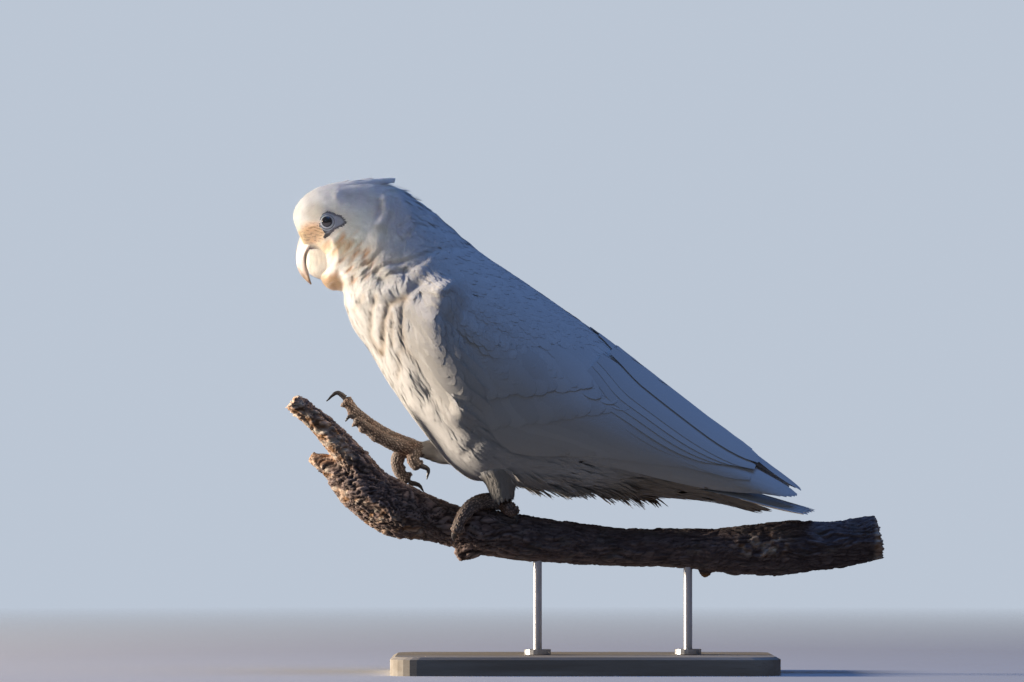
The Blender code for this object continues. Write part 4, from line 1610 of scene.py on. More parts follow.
# === The head ===
@dataclass
class EyeSkin:
    """The bare skin round one eye, with two folds of lid and a pointed corner behind."""

    body: Body
    side: int
    centre: Array
    rings: int = 34
    spokes: int = 192
    inner: float = 2.95
    lid: float = 3.6
    fold: float = 4.9
    thick: float = 0.9
    outline: tuple[tuple[float, float], ...] = (  # angle from straight back, upwards, and reach
        (-180, 5.4), (-150, 5.8), (-125, 7.4), (-106, 12.4), (-90, 8.6), (-70, 6.6), (-45, 6.2), (-22, 8.4),
        (0, 12.6), (16, 10.6), (40, 7.2), (65, 6.6), (90, 6.7), (125, 6.2), (155, 5.5), (180, 5.4),
    )

    @classmethod
    def reach(cls, angle: Array) -> Array:
        """How far the bare skin goes from the eye's middle, in metres, for each angle in radians."""
        turns, reaches = np.array(cls.outline).T
        return np.interp(np.degrees(angle), turns, reaches) * MM

    def on_head(self, x: Array, z: Array) -> tuple[Array, Array]:
        """The body's place and angle where the side of the head passes through x and z.

        Args:
            x, z: a place as seen from the side, in metres.

        Returns:
            The place and the angle on the body.
        """
        place, angle = np.full(x.shape, 2.42), np.full(x.shape, self.side * 1.34)
        for _ in range(14):
            point, _, along, around = self.body.frame(place, angle)
            dx, dz = x - point[..., 0], z - point[..., 2]
            det = along[..., 0] * around[..., 2] - around[..., 0] * along[..., 2]
            place = place + np.clip((around[..., 2] * dx - around[..., 0] * dz) / det, -0.3, 0.3)
            angle = angle + np.clip((along[..., 0] * dz - along[..., 2] * dx) / det, -0.2, 0.2)
        return place, angle

    def tint(self, radius: Array, turn: Array) -> Array:
        """Blue grey, with pale lids, painted shade in the creases between them, and a dark outline of
        painted shade that is darkest in a corner below and in front.

        Args:
            radius: how far from the eye's middle, in millimetres.
            turn: the angle from straight back, upwards.

        Returns:
            The colours.
        """
        tint = plain((0.23, 0.27, 0.35), np.empty((*radius.shape, 3)))
        # painted shade: near black in the crease between the lids and at the rim by the eyeball
        tint = blend(tint, (0.055, 0.06, 0.075), hill(radius, 4.3, 0.32) + hill(radius, self.inner, 0.32))
        pale = 0.2 + 0.8 * ease(0.75, 0.2, np.cos(turn - math.radians(30.0)))  # least behind and above
        tint = blend(tint, (0.76, 0.78, 0.84), hill(radius, self.lid, 0.62) * pale)
        tint = blend(tint, (0.56, 0.60, 0.70), hill(radius, self.fold, 0.5) * pale)
        # painted shade: a deep corner below and in front, and a dark outline along the feathers' edge
        corner = ease(4.9, 6.2, radius) * hill(np.degrees(turn), -112.0, 42.0)
        outline = 0.85 * ease(0.70, 0.88, radius / (self.reach(turn) / MM))
        return blend(tint, (0.035, 0.03, 0.035), corner + outline)

    def build(self, name: str) -> None:
        """Builds the skin as one ring that closes on itself both ways, as a thick washer does.

        Args:
            name: the piece's name.
        """
        share = np.linspace(0, 1, self.rings)[:, None]
        turn = ring_angles(self.spokes)
        far = self.reach(turn) / MM
        radius = self.inner + (far * 1.08 - self.inner) * share**1.15
        x = self.centre[0] + radius * MM * np.cos(turn)
        z = self.centre[2] + radius * MM * np.sin(turn)
        place, angle = self.on_head(x, z)
        point, normal, _, _ = self.body.frame(place, angle)
        lids = 0.72 * hill(radius, self.lid, 0.72) + 0.42 * hill(radius, self.fold, 0.6)
        wrinkles = 0.07 * np.sin(radius * 7.5 + 1.3 * np.sin(3 * turn)) * ease(5.6, 6.4, radius)
        base = 0.35 - 0.95 * ease(self.inner, self.fold + 0.5, radius) - 0.35 * ease(0.8, 1.0, share)
        high = (base + lids + wrinkles) * MM
        low = high - self.thick * MM * (0.35 + 0.65 * ease(0.0, 0.2, share))
        top = point + normal * high[..., None]
        under = point + normal * low[..., None]
        rings = np.concatenate([top, under[::-1]])
        tint = self.tint(np.concatenate([radius, radius[::-1]]), turn)
        if self.side > 0:
            rings, tint = rings[:, ::-1], tint[:, ::-1]
        quads = ring_quads(*rings.shape[:2])
        sizes = np.full(quads.size // 4, 4)
        MeshData(rings.reshape(-1, 3), quads.ravel(), sizes, tint.reshape(-1, 3)).shown(name, LidFinish())


@dataclass
class Eye:
    """One eyeball, set in the head, with the skin round it."""

    body: Body
    side: int
    rows: int = 40
    sides: int = 64
    pupil: float = 1.5 * MM
    iris: float = 3.0 * MM
    cornea: float = 0.35 * MM
    shift: Triple = (0.9, 0.0, -1.3)  # from the middle of the node's box

    def build(self) -> None:
        """Builds the eyeball and its lids."""
        name = "left" if self.side < 0 else "right"
        low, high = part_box(f"eye_{name}")
        centre = np.array((low + high) / 2) + np.array(self.shift) * MM
        radius = max(high - low) / 2
        facing = unit(self.body.frame(np.array(2.42), np.array(self.side * 1.335))[1])
        side = unit(np.cross(facing, (0.0, 0.0, 1.0)))
        up = np.cross(side, facing)
        lean = np.linspace(0.03, math.pi - 0.03, self.rows)[:, None]
        turn = np.linspace(0, 2 * math.pi, self.sides, endpoint=False)[None, :]
        out = radius + self.cornea * ease(0.75, 0.35, lean)
        across = (out * np.sin(lean))[..., None]
        rings = centre + (out * np.cos(lean))[..., None] * facing
        rings = rings + across * (np.cos(turn)[..., None] * side + np.sin(turn)[..., None] * up)
        data = ring_solid(rings)
        off = data.points - centre
        spread = np.linalg.norm(off - (off @ facing)[:, None] * facing, axis=1)
        tint = plain((0.004, 0.0035, 0.004), data.points)
        brown = ease(self.pupil, self.pupil * 1.15, spread) * ease(self.iris * 1.05, self.iris, spread)
        data.tint = blend(tint, (0.020, 0.012, 0.009), brown)
        data.shown(f"eyeball_{name}", EyeFinish(), "eye", (f"eye_{name}",))
        EyeSkin(self.body, self.side, centre).build(f"eyelids_{name}")


@dataclass
class Bill:
    """The upper and the lower bill."""

    rows: int = 90
    sides: int = 56
    upper: OvalLoft = field(default_factory=lambda: OvalLoft([  # from its tip back to its root
        (-163.9, 232.4, -163.3, 232.8, 0.5, 0.50, 1, 1),
        (-166.6, 234.8, -164.4, 236, 1.5, 0.78, 1.05, 0.9),
        (-169.6, 238.4, -165.4, 240, 2.9, 0.78, 1.05, 0.8),
        (-171.9, 243.8, -166.8, 245.2, 4.6, 0.78, 1.05, 0.8),
        (-172.4, 250.5, -166, 250.8, 6.6, 0.78, 1.05, 0.8),
        (-171.2, 257.5, -161, 256.5, 8.2, 0.78, 1.05, 0.8),
        (-169, 264, -155, 259.5, 8.6, 0.78, 1.05, 0.9),
    ]))
    lower: OvalLoft = field(default_factory=lambda: OvalLoft([
        (-167.3, 247.5, -166.9, 242.5, 3.2, 0.50, 0.9, 0.9),
        (-166.6, 252.6, -164.6, 239, 7, 0.45, 0.8, 0.9),
        (-163.4, 256.8, -160.4, 236.4, 8.8, 0.45, 0.8, 0.9),
        (-158.2, 258.6, -155.2, 235, 9.4, 0.45, 0.8, 0.9),
        (-152, 257, -150, 235, 9, 0.45, 0.8, 0.9),
    ]))

    def build(self) -> None:
        """Builds both halves of the bill."""
        for name, loft, reach in (("upper", self.upper, 6.0), ("lower", self.lower, 4.0)):
            place = np.linspace(0, reach, self.rows)
            turn = ring_angles(self.sides)
            lines = 9.0 if name == "upper" else 12.0
            growth = 0.015 * np.sin(place[:, None] * lines + 0.6 * np.cos(2 * turn))
            keel = 0.28 * hill(np.abs(turn), 0.0, 0.28) * ease(0.8, 2.5, place[:, None])
            edge = 0.22 * hill(np.abs(turn), 2.25, 0.35) * ease(0.5, 2.0, place[:, None])
            grow = (growth + (keel + edge if name == "upper" else 0.0)) * MM
            data = loft.solid(place, self.sides, grow + 0 * turn)
            if name == "lower":
                front = data.points[:, 0] < -165.0 * MM
                data.points[:, 0] += 0.5 * MM * front
            data.tint = self.tint(data.points, name)
            data.shown(f"bill_{name}_horn", HornFinish(), "bill_horn", (f"bill_{name}",))

    @staticmethod
    def tint(points: Array, name: str) -> Array:
        """The horn's colour: pale lilac grey above with a brown tip, and creamy pink below.

        Args:
            points: points on the horn.
            name: upper or lower.

        Returns:
            The colours.
        """
        base = (0.70, 0.61, 0.58) if name == "upper" else (0.88, 0.80, 0.69)
        tint = plain(base, points)
        z = points[:, 2] / MM
        if name == "upper":
            tint = blend(tint, (0.40, 0.28, 0.19), ease(243.5, 235.5, z))
            tint = blend(tint, (0.20, 0.13, 0.09), ease(237.0, 232.5, z))
            return blend(tint, (0.62, 0.57, 0.56), ease(256.0, 260.0, z))
        # painted shade: the lower bill turns darker tan along its lower edge
        tint = blend(tint, (0.66, 0.54, 0.42), ease(238.5, 235.5, z))
        return blend(tint, (0.60, 0.54, 0.50), ease(251.5, 254.5, z))


@dataclass
class Crest:
    """The short crest, folded flat on the crown: a few slim feathers, the longest with blunt free tips."""

    body: Body
    long: Vane = Vane(20, 9, root=0.4, widest=0.6, blunt=5.0, tip=0.6, thick=0.35, sink=0.5, cup=1.25)
    short: Vane = Vane(14, 7, root=0.4, widest=0.55, blunt=2.6, tip=0.25, thick=0.2, sink=0.4, cup=0.7)
    longest: int = 5
    feathers: tuple[tuple[float, float, float, float, float], ...] = (  # place, angle, length, half, lift
        (2.22, -0.05, 47, 3.7, 4.9), (2.18, 0.14, 45, 3.5, 4.4), (2.16, -0.20, 44, 3.4, 3.9),
        (2.12, -0.36, 42, 3.2, 2.9), (2.12, 0.36, 41, 3.2, 2.7), (2.05, 0.02, 37, 3.1, 3.4),
        (2, -0.26, 32, 2.8, 2.4), (1.95, 0.26, 32, 2.8, 2.3), (1.85, -0.10, 27, 2.6, 2),
        (1.75, 0.14, 24, 2.4, 1.5), (1.62, -0.24, 20, 2.2, 1), (1.55, 0.27, 20, 2.2, 1),
        (1.45, 0.02, 17, 2, 0.9),
    )

    def build(self) -> None:
        """Builds the crest."""
        place, angle, length, half, lift = np.array(self.feathers).T
        roots = Roots(place, angle, length * MM, half * MM, lift * MM, -0.25 * angle)
        first = np.arange(len(place)) < self.longest
        data = MeshData.joined([
            lay(self.body, roots.some(first), self.long, self.body.tint, 31),
            lay(self.body, roots.some(~first), self.short, self.body.tint, 32),
        ])
        data.shown("crest_feathers", PlumageFinish(), "plumage", ("crest",))


# === Thighs, wings and tail ===
@dataclass
class Thigh:
    """One thigh's coat, down to the cuff of short feathers over the shank."""

    body: Body
    limb: Limb
    kind: Vane = Vane(7, 3, sink=0.6, thick=0.06, ragged=0.25, tip=0.1)
    layers: float = 13.0
    buried: float = 4.0 * MM  # how deep in the body no feather grows

    def size(self, place: Array) -> tuple[Array, Array]:
        """The length and the half width of the feathers at each place, in metres."""
        share = place / self.limb.last
        return (14.0 - 7.0 * share) * MM, (1.5 - 0.6 * share) * MM

    def build(self, name: str, seed: int) -> None:
        """Builds the coat.

        Args:
            name: the piece's name.
            seed: which random spread.
        """

        def spacing(points: Array, place: Array, angle: Array) -> Array:
            """The gap between neighbours, and none deep inside the body."""
            deep = self.body.depth(points) > self.buried
            return np.where(deep, 0.0, overlapped(*self.size(place), self.layers))

        place, angle = scatter(self.limb, (0.3, self.limb.last - 0.02), (-math.pi, math.pi), spacing, seed)
        rng = np.random.default_rng(seed + 1)
        length, half = self.size(place)
        count = len(place)
        lift = rng.uniform(0.0, 0.6, count) * MM
        length = length * rng.uniform(0.8, 1.2, count)
        roots = Roots(place, angle, length, half, lift, rng.normal(0, 0.15, count))
        data = lay(self.limb, roots, self.kind, self.tint, seed + 2)
        data.shown(name, PlumageFinish(), "plumage")

    def tint(self, points: Array, place: Array, angle: Array) -> Array:
        """White above, buff where it turns down, and grey at the cuff."""
        return blend(plain(WHITE, points), (0.42, 0.38, 0.33), 0.7 * ease(2.3, 3.0, place))


@dataclass(frozen=True)
class Row:
    """A row of a wing's large feathers. Each pair holds the values of its first and its last feather."""

    count: int
    root_place: tuple[float, float]
    root_angle: tuple[float, float]
    tip_place: tuple[float, float]
    tip_angle: tuple[float, float]
    half: tuple[float, float]
    height: tuple[float, float]
    kind: Vane
    bow: float = 0.0

    def between(self, pair: tuple[float, float]) -> Array:
        """A value for each feather of the row."""
        return np.linspace(*pair, self.count)

    def laid(self, surface: Surface, over: float, colour: Reading, seed: int) -> MeshData:
        """Lays the row.

        Args:
            surface: the wing or the tail.
            over: how much higher the whole row lies, in millimetres.
            colour: gives the feathers' colour.
            seed: which random variation.

        Returns:
            The row's feathers as one mesh.
        """
        t = self.kind.shares()[None, :]
        rng = np.random.default_rng(seed)
        start, end = self.between(self.root_place)[:, None], self.between(self.tip_place)[:, None]
        end = end + rng.normal(0, 0.004, end.shape)
        low, high = self.between(self.root_angle)[:, None], self.between(self.tip_angle)[:, None]
        places = start + (end - start) * t
        angles = low + (high - low) * t + self.bow * np.sin(math.pi * t)
        points = surface.point(places, angles)
        length = np.linalg.norm(np.diff(points, axis=1), axis=-1).sum(axis=1)
        lift = (self.between(self.height) + over) * MM
        roots = Roots(places[:, 0], angles[:, 0], length, self.between(self.half) * MM, 0 * lift, 0 * lift)
        return lay(surface, roots, self.kind, colour, seed, Course(places, angles, lift[:, None]))


FLIGHT = Vane(18, 7, root=0.5, widest=0.3, blunt=4.5, tip=0.22, thick=0.15, sink=0.4, cup=0.02)
COVERT = Vane(10, 7, root=0.6, widest=0.5, blunt=4.5, tip=0.2, thick=0.05, sink=0.6, cup=0.02)


@dataclass
class Wing:
    """One folded wing: small coverts over rows of larger ones over the flight feathers."""

    body: Body
    side: int
    over: float  # how much higher it lies, in millimetres
    small: Vane = Vane(7, 5, sink=0.4, thick=0.035, ragged=0.03, blunt=2.4, cup=0.02)
    layers: float = 8.0  # of the small coverts
    flight: tuple[Row, ...] = (
        Row(8, (0.42, 0.4), (0.3, 0.92), (0.995, 0.9), (0.16, 0.88), (6.5, 5.5), (-1, -1.4), FLIGHT, -0.03),
        Row(9, (0.32, 0.30), (0.30, 0.93), (0.82, 0.60), (0.30, 0.93), (8.5, 8), (-0.6, -0.9), FLIGHT, 0.02),
        Row(5, (0.24, 0.32), (0.05, 0.28), (0.80, 0.73), (0.05, 0.30), (10, 10), (0.9, -0.6), FLIGHT),
    )
    coverts: tuple[Row, ...] = (
        Row(13, (0.28, 0.24), (0.16, 0.97), (0.50, 0.40), (0.18, 0.95), (9.5, 7), (-0.45, -0.7), COVERT),
        Row(14, (0.20, 0.16), (0.14, 0.98), (0.38, 0.30), (0.16, 0.95), (8, 5.4), (-0.3, -0.45), COVERT),
    )

    def build(self, name: str) -> None:
        """Builds the wing's pieces.

        Args:
            name: left or right.
        """
        patch = WingPatch(self.body, self.side)
        seed = 200 if self.side < 0 else 300
        flight = [row.laid(patch, self.over, self.tint, seed + i) for i, row in enumerate(self.flight)]
        data = MeshData.joined(flight)
        data.shown(f"wing_{name}_flight_feathers", PlumageFinish(), "plumage", (f"wing_{name}_flight",))
        rows = [row.laid(patch, self.over, self.tint, seed + 10 + i) for i, row in enumerate(self.coverts)]
        rows.append(self.lesser(patch, seed + 20))
        data = MeshData.joined(rows)
        data.shown(f"wing_{name}_covert_feathers", PlumageFinish(), "plumage", (f"wing_{name}_coverts",))

    def size(self, place: Array, angle: Array) -> tuple[Array, Array]:
        """Length and half width of the small coverts, in metres: large on the shoulder, small in front.

        Args:
            place, angle: where on the wing.

        Returns:
            The lengths and the half widths.
        """
        shoulder = ease(0.42, 0.22, angle)
        back = ease(0.0, 0.25, place)
        length = 9.0 + 6.0 * back + 11.0 * shoulder * back
        return length * MM, (2.7 + 1.4 * back + 2.2 * shoulder * back) * MM

    def lesser(self, patch: WingPatch, seed: int) -> MeshData:
        """The small coverts and the shoulder feathers.

        Args:
            patch: the wing's surface.
            seed: which random spread.

        Returns:
            The feathers as one mesh.
        """

        def spacing(points: Array, place: Array, angle: Array) -> Array:
            """The gap between neighbours, and none behind the last row."""
            end = 0.22 + 0.15 * ease(0.45, 0.2, angle)
            return np.where(place < end, overlapped(*self.size(place, angle), self.layers), 0.0)

        place, angle = scatter(patch, (0.0, 0.42), (0.015, 0.985), spacing, seed)
        rng = np.random.default_rng(seed + 1)
        length, half = self.size(place, angle)
        count = len(place)
        lift = (self.over * ease(0.08, 0.34, place) + rng.uniform(0, 0.05, count)) * MM
        length = length * rng.uniform(0.9, 1.1, count)
        roots = Roots(place, angle, length, half, lift, rng.normal(0, 0.07, count))
        return lay(patch, roots, self.small, self.tint, seed + 2)

    def tint(self, points: Array, place: Array, angle: Array) -> Array:
        """White, very slightly creamier towards the lower edge."""
        return blend(plain(WHITE, points), CREAM, 0.25 * ease(0.6, 1.0, angle))


@dataclass
class TailFan(Surface):
    """The arched fan of the tail: the place runs 0 to 1 to its end, the angle -1 to 1 across it."""

    line: list[tuple[float, float]] = field(default_factory=lambda: [  # x and z of its middle
        (15, 121), (45, 118), (70, 115), (90, 111), (108, 106), (124, 101.2), (138.5, 97),
    ])
    half: float = 22.0
    arch: float = 4.5

    def point(self, place: Array, angle: Array) -> Array:
        """The point at each place and angle.

        Args:
            place, angle: where on the surface.

        Returns:
            The points, in metres.
        """
        place, angle = pairs(place, angle)
        line = smooth(self.line, place * (len(self.line) - 1))
        spread = self.half * (0.45 + 0.55 * ease(-0.3, 0.5, place))
        droop = self.arch * (1 - 0.45 * ease(0.5, 1.0, place)) * angle**2
        slope = 3.0 * angle**2
        return np.stack([line[..., 0] - slope, spread * angle, line[..., 1] - droop], axis=-1) * MM


@dataclass
class Tail:
    """The twelve tail feathers, the middle pair on top."""

    fan: TailFan = field(default_factory=TailFan)
    rows: tuple[Row, ...] = (
        Row(6, (0, 0), (-0.04, -0.6), (1, 0.965), (-0.10, -0.84), (6.4, 5.4), (0.5, -1.4), FLIGHT),
        Row(6, (0, 0), (0.04, 0.6), (1, 0.965), (0.10, 0.84), (6.4, 5.4), (0.3, -1.5), FLIGHT),
    )

    def build(self) -> None:
        """Builds the tail feathers as one piece."""
        rows = [row.laid(self.fan, 0.0, self.tint, 400 + i) for i, row in enumerate(self.rows)]
        MeshData.joined(rows).shown("tail_feathers", PlumageFinish(), "plumage", ("tail",))

    @staticmethod
    def tint(points: Array, place: Array, angle: Array) -> Array:
        """White, creamier at the sides."""
        return blend(plain(WHITE, points), CREAM, 0.2 * np.abs(angle))


# === The feet ===
class Grip(Enum):
    """How a foot is held."""

    ON_BRANCH = "on the branch"
    RAISED = "raised"


@dataclass(frozen=True)
class Toe:
    """One toe and its claw, in the terms of its foot: round the branch, or x, y, z; and the radius."""

    number: int
    path: Table
    claw: Table


SCALE_GAP = 1.25 * MM
SCALE_SIZE = (1.3 * MM, 0.62 * MM)  # length and half width


@dataclass
class Foot:
    """A scaly shank with its palm, four toes and four claws."""

    name: str
    grip: Grip
    branch: "Branch"
    shank: Table
    palm: tuple[float, float, float, float]
    toes: tuple[Toe, ...]
    gap: float = 0.3
    voxel: float = 0.5 * MM
    scale: Vane = Vane(5, 5, root=0.6, widest=0.45, blunt=2.0, tip=0.35, thick=0.8, sink=0.25, cup=0.35)

    def on_branch(self, x: float, turn: float, radius: float) -> tuple[float, ...]:
        """A point of a toe that lies on the bark, the turn given in degrees from the top.

        Args:
            x: how far along the branch.
            turn: how far round it.
            radius: the toe's radius there.

        Returns:
            Its x, y, z and radius, in millimetres.
        """
        centre = self.branch.centre(x)
        slope = self.branch.centre(x + 1)[2] - self.branch.centre(x - 1)[2]
        off = centre[3] * (1 + self.branch.swell) + radius + self.gap
        up = unit(np.array([-slope / 2, 0.0, 1.0]))
        a = math.radians(turn)
        way = math.cos(a) * up + math.sin(a) * np.array([0.0, 1.0, 0.0])
        return (*(centre[:3] + off * way), radius)

    def placed(self, path: Table) -> Table:
        """A toe's path as x, y, z and radius."""
        return [self.on_branch(*point) for point in path] if self.grip is Grip.ON_BRANCH else path

    def build(self) -> None:
        """Builds the foot's skin, its scales and its claws."""
        x, y, z, radius = self.palm
        ball = ((-0.9, 0.35), (-0.45, 0.92), (0, 1), (0.45, 0.92), (0.9, 0.35))
        limbs = [Limb(self.shank), Limb([(x + radius * k, y, z, radius * r) for k, r in ball])]
        for toe in self.toes:
            path = self.placed(toe.path)
            end = len(path) - 1.0
            knobs = [(end - 0.12, 0.34, 2.3), (end - 1.0, 0.36, 1.0), (end - 1.9, 0.4, 0.8)]
            limbs.append(Limb(path, knobs=knobs))
            self.claw(toe)
        parts = [limb.solid(np.linspace(0, limb.last, int(limb.last * 14) + 1), 28) for limb in limbs]
        parts += [self.tip_ball(limb) for limb in limbs[2:]]
        points, _, quads = as_one(parts, self.voxel, self.name)
        data = MeshData(points, quads.ravel(), np.full(len(quads), 4), 0.42 * self.tint(points))
        data.shown(f"{self.name}_skin", ScaleFinish(), "foot_scale", (self.name,))
        tree = tree_of(points)
        scales = [self.scales(limb, tree, 500 + i) for i, limb in enumerate(limbs)]
        for i, data in enumerate(scales):
            data.patch[:, 1] += 7.0 * i
        MeshData.joined(scales).shown(f"{self.name}_scales", ScaleFinish(), "foot_scale")

    @staticmethod
    def tip_ball(limb: Limb) -> MeshData:
        """A rounded end for a toe.

        Args:
            limb: the toe.

        Returns:
            The ball, as a solid.
        """
        point = limb.line[-1]
        ahead = unit(limb.line[-1, :3] - limb.line[-3, :3])
        far = point[3] / MM * 0.55
        path = [(*(point[:3] / MM + ahead * far * k), point[3] / MM * r)
                for k, r in ((-1.0, 0.8), (0.0, 1.0), (0.9, 0.85), (1.4, 0.3))]
        end = Limb(path)
        return end.solid(np.linspace(0, end.last, 16), 20)

    def scales(self, limb: Limb, tree: KDTree, seed: int) -> MeshData:
        """Small domed scales over one limb, only where it comes to the surface of the foot.

        Args:
            limb: what they lie on.
            tree: the points of the foot's skin.
            seed: which random spread.

        Returns:
            The scales.
        """
        place, angle = scatter(limb, (0.0, limb.last), (-math.pi, math.pi), self.spacing, seed)
        point = limb.point(place, angle)
        outside = np.array([tree.find(at)[2] < 0.42 * MM for at in point])
        place, angle = place[outside], angle[outside]
        count = len(place)
        rng = np.random.default_rng(seed)
        size = rng.uniform(0.85, 1.2, count)
        length, half = SCALE_SIZE[0] * size, SCALE_SIZE[1] * size
        roots = Roots(place, angle, length, half, 0 * place, rng.normal(0, 0.25, count))
        data = lay(limb, roots, self.scale, self.tint, seed + 1)
        data.tint = data.tint * (0.72 + 0.56 * data.vane[:, 2:])
        return data

    @staticmethod
    def spacing(points: Array, place: Array, angle: Array) -> Array:
        """The gap between scales, the same everywhere."""
        return np.full(np.shape(place), SCALE_GAP)

    @staticmethod
    def tint(points: Array, *_: Array) -> Array:
        """Grey brown, patchy, with browner patches.

        Args:
            points: where to read it.

        Returns:
            The colours.
        """
        base = plain((0.33, 0.26, 0.225), points)
        patchy = 0.5 + 0.5 * ripple(points, (6 * MM, 6 * MM, 6 * MM), 12)
        tint = blend(base, (0.56, 0.46, 0.40), 0.6 * patchy)
        return blend(tint, (0.30, 0.17, 0.11), 0.5 * ripple(points, (14 * MM, 14 * MM, 14 * MM), 13))

    def claw(self, toe: Toe) -> None:
        """Builds one toe's claw, with growth rings and a groove below.

        Args:
            toe: the toe.
        """
        limb = Limb(self.placed(toe.claw))
        place = np.linspace(0, limb.last, 30)
        angle = ring_angles(24)
        ring = 0.05 * np.sin(place[:, None] * 16 + np.cos(angle))
        data = limb.solid(place, 24, (ring - 0.12 * hill(np.abs(angle), math.pi, 0.6)) * MM)
        root = ease(limb.last, 0.0, np.concatenate([np.repeat(place, 24), place[[0, -1]]]))
        data.tint = blend(plain((0.035, 0.032, 0.034), data.points), (0.14, 0.12, 0.11), root)
        node = f"{self.name}_{toe.number}".replace("foot", "claw")
        horn = HornFinish("claw_horn", 1.4, 0.32)
        data.shown(f"{self.name}_claw_{toe.number}", horn, "claw_horn", (node,))


# === The branch ===
@dataclass
class Branch:
    """The cut branch, with a broken fork, two knots, cracked bark and bare wood where it is broken."""

    path: Table = field(default_factory=lambda: [
        (-150.5, -3, 119, 6.5), (-133, -3, 109.5, 14.5), (-111, -4, 98, 16.6),
        (-86.5, -6, 90.6, 12.6), (-62, -8, 84.6, 13.6), (-38, -8, 81.2, 13.8),
        (-2, -5, 76.8, 12.4), (34, -2, 75, 11.5), (68, 0, 74, 12.4),
        (96, 0, 72.8, 15), (120, 0, 75, 16.4), (144, 0, 76.2, 14.6), (176, 0, 81.2, 13.4),
    ])
    long_stub: Table = field(default_factory=lambda: [
        (-122, -3, 104, 13), (-139, -5, 128, 9.4), (-157, -8, 148, 7.2),
        (-173.8, -10, 162.4, 5.5),
    ])
    short_stub: Table = field(default_factory=lambda: [
        (-136, -2, 112, 10), (-150, 0, 122.5, 7.6), (-164, 2, 129.5, 3.6),
    ])
    knots: list[Table] = field(default_factory=lambda: [
        [(-65, -8, 77, 8), (-76, -9.5, 69, 3.8)],
        [(70, 0, 66, 4.5), (73.5, 1, 57.5, 2.7)],
    ])
    swell: float = 0.05
    voxel: float = 0.85 * MM
    wound: Spot = Spot(106, 76, 24, 11, ())  # the broken knot on the front, where the wood is in lumps
    plates: int = 6000  # over the branch and its stub
    crack: float = 1.4  # millimetres
    fibre: float = 0.75

    def __post_init__(self) -> None:
        """Samples the centre line once."""
        self.line = smooth(self.path, np.linspace(0, len(self.path) - 1, 400))

    def centre(self, x: float) -> Array:
        """The centre line and the radius where the branch crosses this x, in millimetres."""
        return np.array([np.interp(x, self.line[:, 0], self.line[:, k]) for k in range(4)])

    def tube(self, path: Table, swell: float = 0.0) -> MeshData:
        """One limb of the branch as a solid.

        Args:
            path: x, y, z and radius along it.
            swell: how unevenly round it is, as a share of its radius.

        Returns:
            The solid.
        """
        limb = Limb(path)
        place = np.linspace(0, limb.last, int(limb.last * 10) + 2)
        angle = ring_angles(36)
        radius = limb.read(limb.line, place)[:, 3:]
        waves = np.sin(2.3 * place[:, None] + 2 * angle) * np.cos(1.7 * place[:, None] - 3 * angle)
        return limb.solid(place, 36, swell * radius * waves)

    def build(self) -> None:
        """Builds the branch."""
        parts = [self.tube(self.path, self.swell), self.tube(self.long_stub), self.tube(self.short_stub)]
        parts += [self.tube(knot) for knot in self.knots]
        points, normals, quads = as_one(parts, self.voxel, "branch")
        along, round_ = self.unrolled(points)
        high, gap = self.bark(along, round_)
        left = ease(-20.0, -70.0, points[:, 0] / MM)
        height = self.crack * (0.35 + 0.65 * left) * (gap - 0.75) + self.fibre * high
        bare = self.bare(points, normals)
        lumps = self.wound.share(points) * (points[:, 1] < 0)
        lumps = lumps * (0.5 + 1.3 * ripple(points, (5 * MM, 9 * MM, 7 * MM), 37))
        height = height * (1 - 0.35 * bare) + lumps
        points = points + normals * (height * MM - 0.45 * MM)[:, None] + self.splinters(points)
        data = MeshData(points, quads.ravel(), np.full(len(quads), 4))
        data.tint = self.tint(points, high, gap, left, bare)
        data.shown("branch_bark", BarkFinish(), "bark", ("perch_branch",))

    def unrolled(self, points: Array) -> tuple[Array, Array]:
        """How far along and how far round the branch each point is, in millimetres.

        Args:
            points: points on the bark, in metres.

        Returns:
            The two distances.
        """
        lines = [self.line, smooth(self.long_stub, np.linspace(0, 3, 90))]
        flat = points / MM
        best = np.full(len(points), np.inf)
        along, round_ = np.zeros(len(points)), np.zeros(len(points))
        for number, line in enumerate(lines):
            run = np.concatenate([[0], np.cumsum(np.linalg.norm(np.diff(line[:, :3], axis=0), axis=1))])
            tree = tree_of(line[:, :3])
            found = [tree.find(at) for at in flat]
            index = np.array([one[1] for one in found])
            far = np.array([one[2] for one in found]) - line[index, 3]
            off = flat - line[index, :3]
            turn = np.arctan2(off[:, 1], off[:, 2])
            here = far < best
            best = np.where(here, far, best)
            along = np.where(here, run[index] - 150.0 + 400.0 * number, along)
            round_ = np.where(here, turn * line[index, 3], round_)
        return along, round_

    def bark(self, along: Array, round_: Array) -> tuple[Array, Array]:
        """The bark's relief: long fibres, and plates with cracks between them.

        Args:
            along: how far along the branch, in millimetres.
            round_: how far round it.

        Returns:
            The fibres, about -1 to 1, and the distance from the nearest crack, 0 to 1.
        """
        flat = np.column_stack([along, round_])
        wavy = flat + np.column_stack([0 * along, 2.6 * ripple(flat, (30.0, 22.0), 21)])
        fibres = ripple(wavy, (46.0, 3.1), 22, 14) * 0.6 + ripple(wavy, (17.0, 1.8), 23, 12) * 0.4
        rng = np.random.default_rng(24)
        stretch = np.array([1 / 15.0, 1 / 3.3])
        seeds = np.column_stack([rng.uniform(-160, 480, self.plates), rng.uniform(-56, 56, self.plates)])
        tree = tree_of(np.column_stack([seeds * stretch, np.zeros(len(seeds))]))
        gap = np.empty(len(flat))
        for i, at in enumerate(wavy * stretch):
            near = tree.find_n((*at, 0.0), 2)
            gap[i] = near[1][2] - near[0][2]
        return np.clip(fibres, -1.5, 1.5), ease(0.0, 0.15, gap)

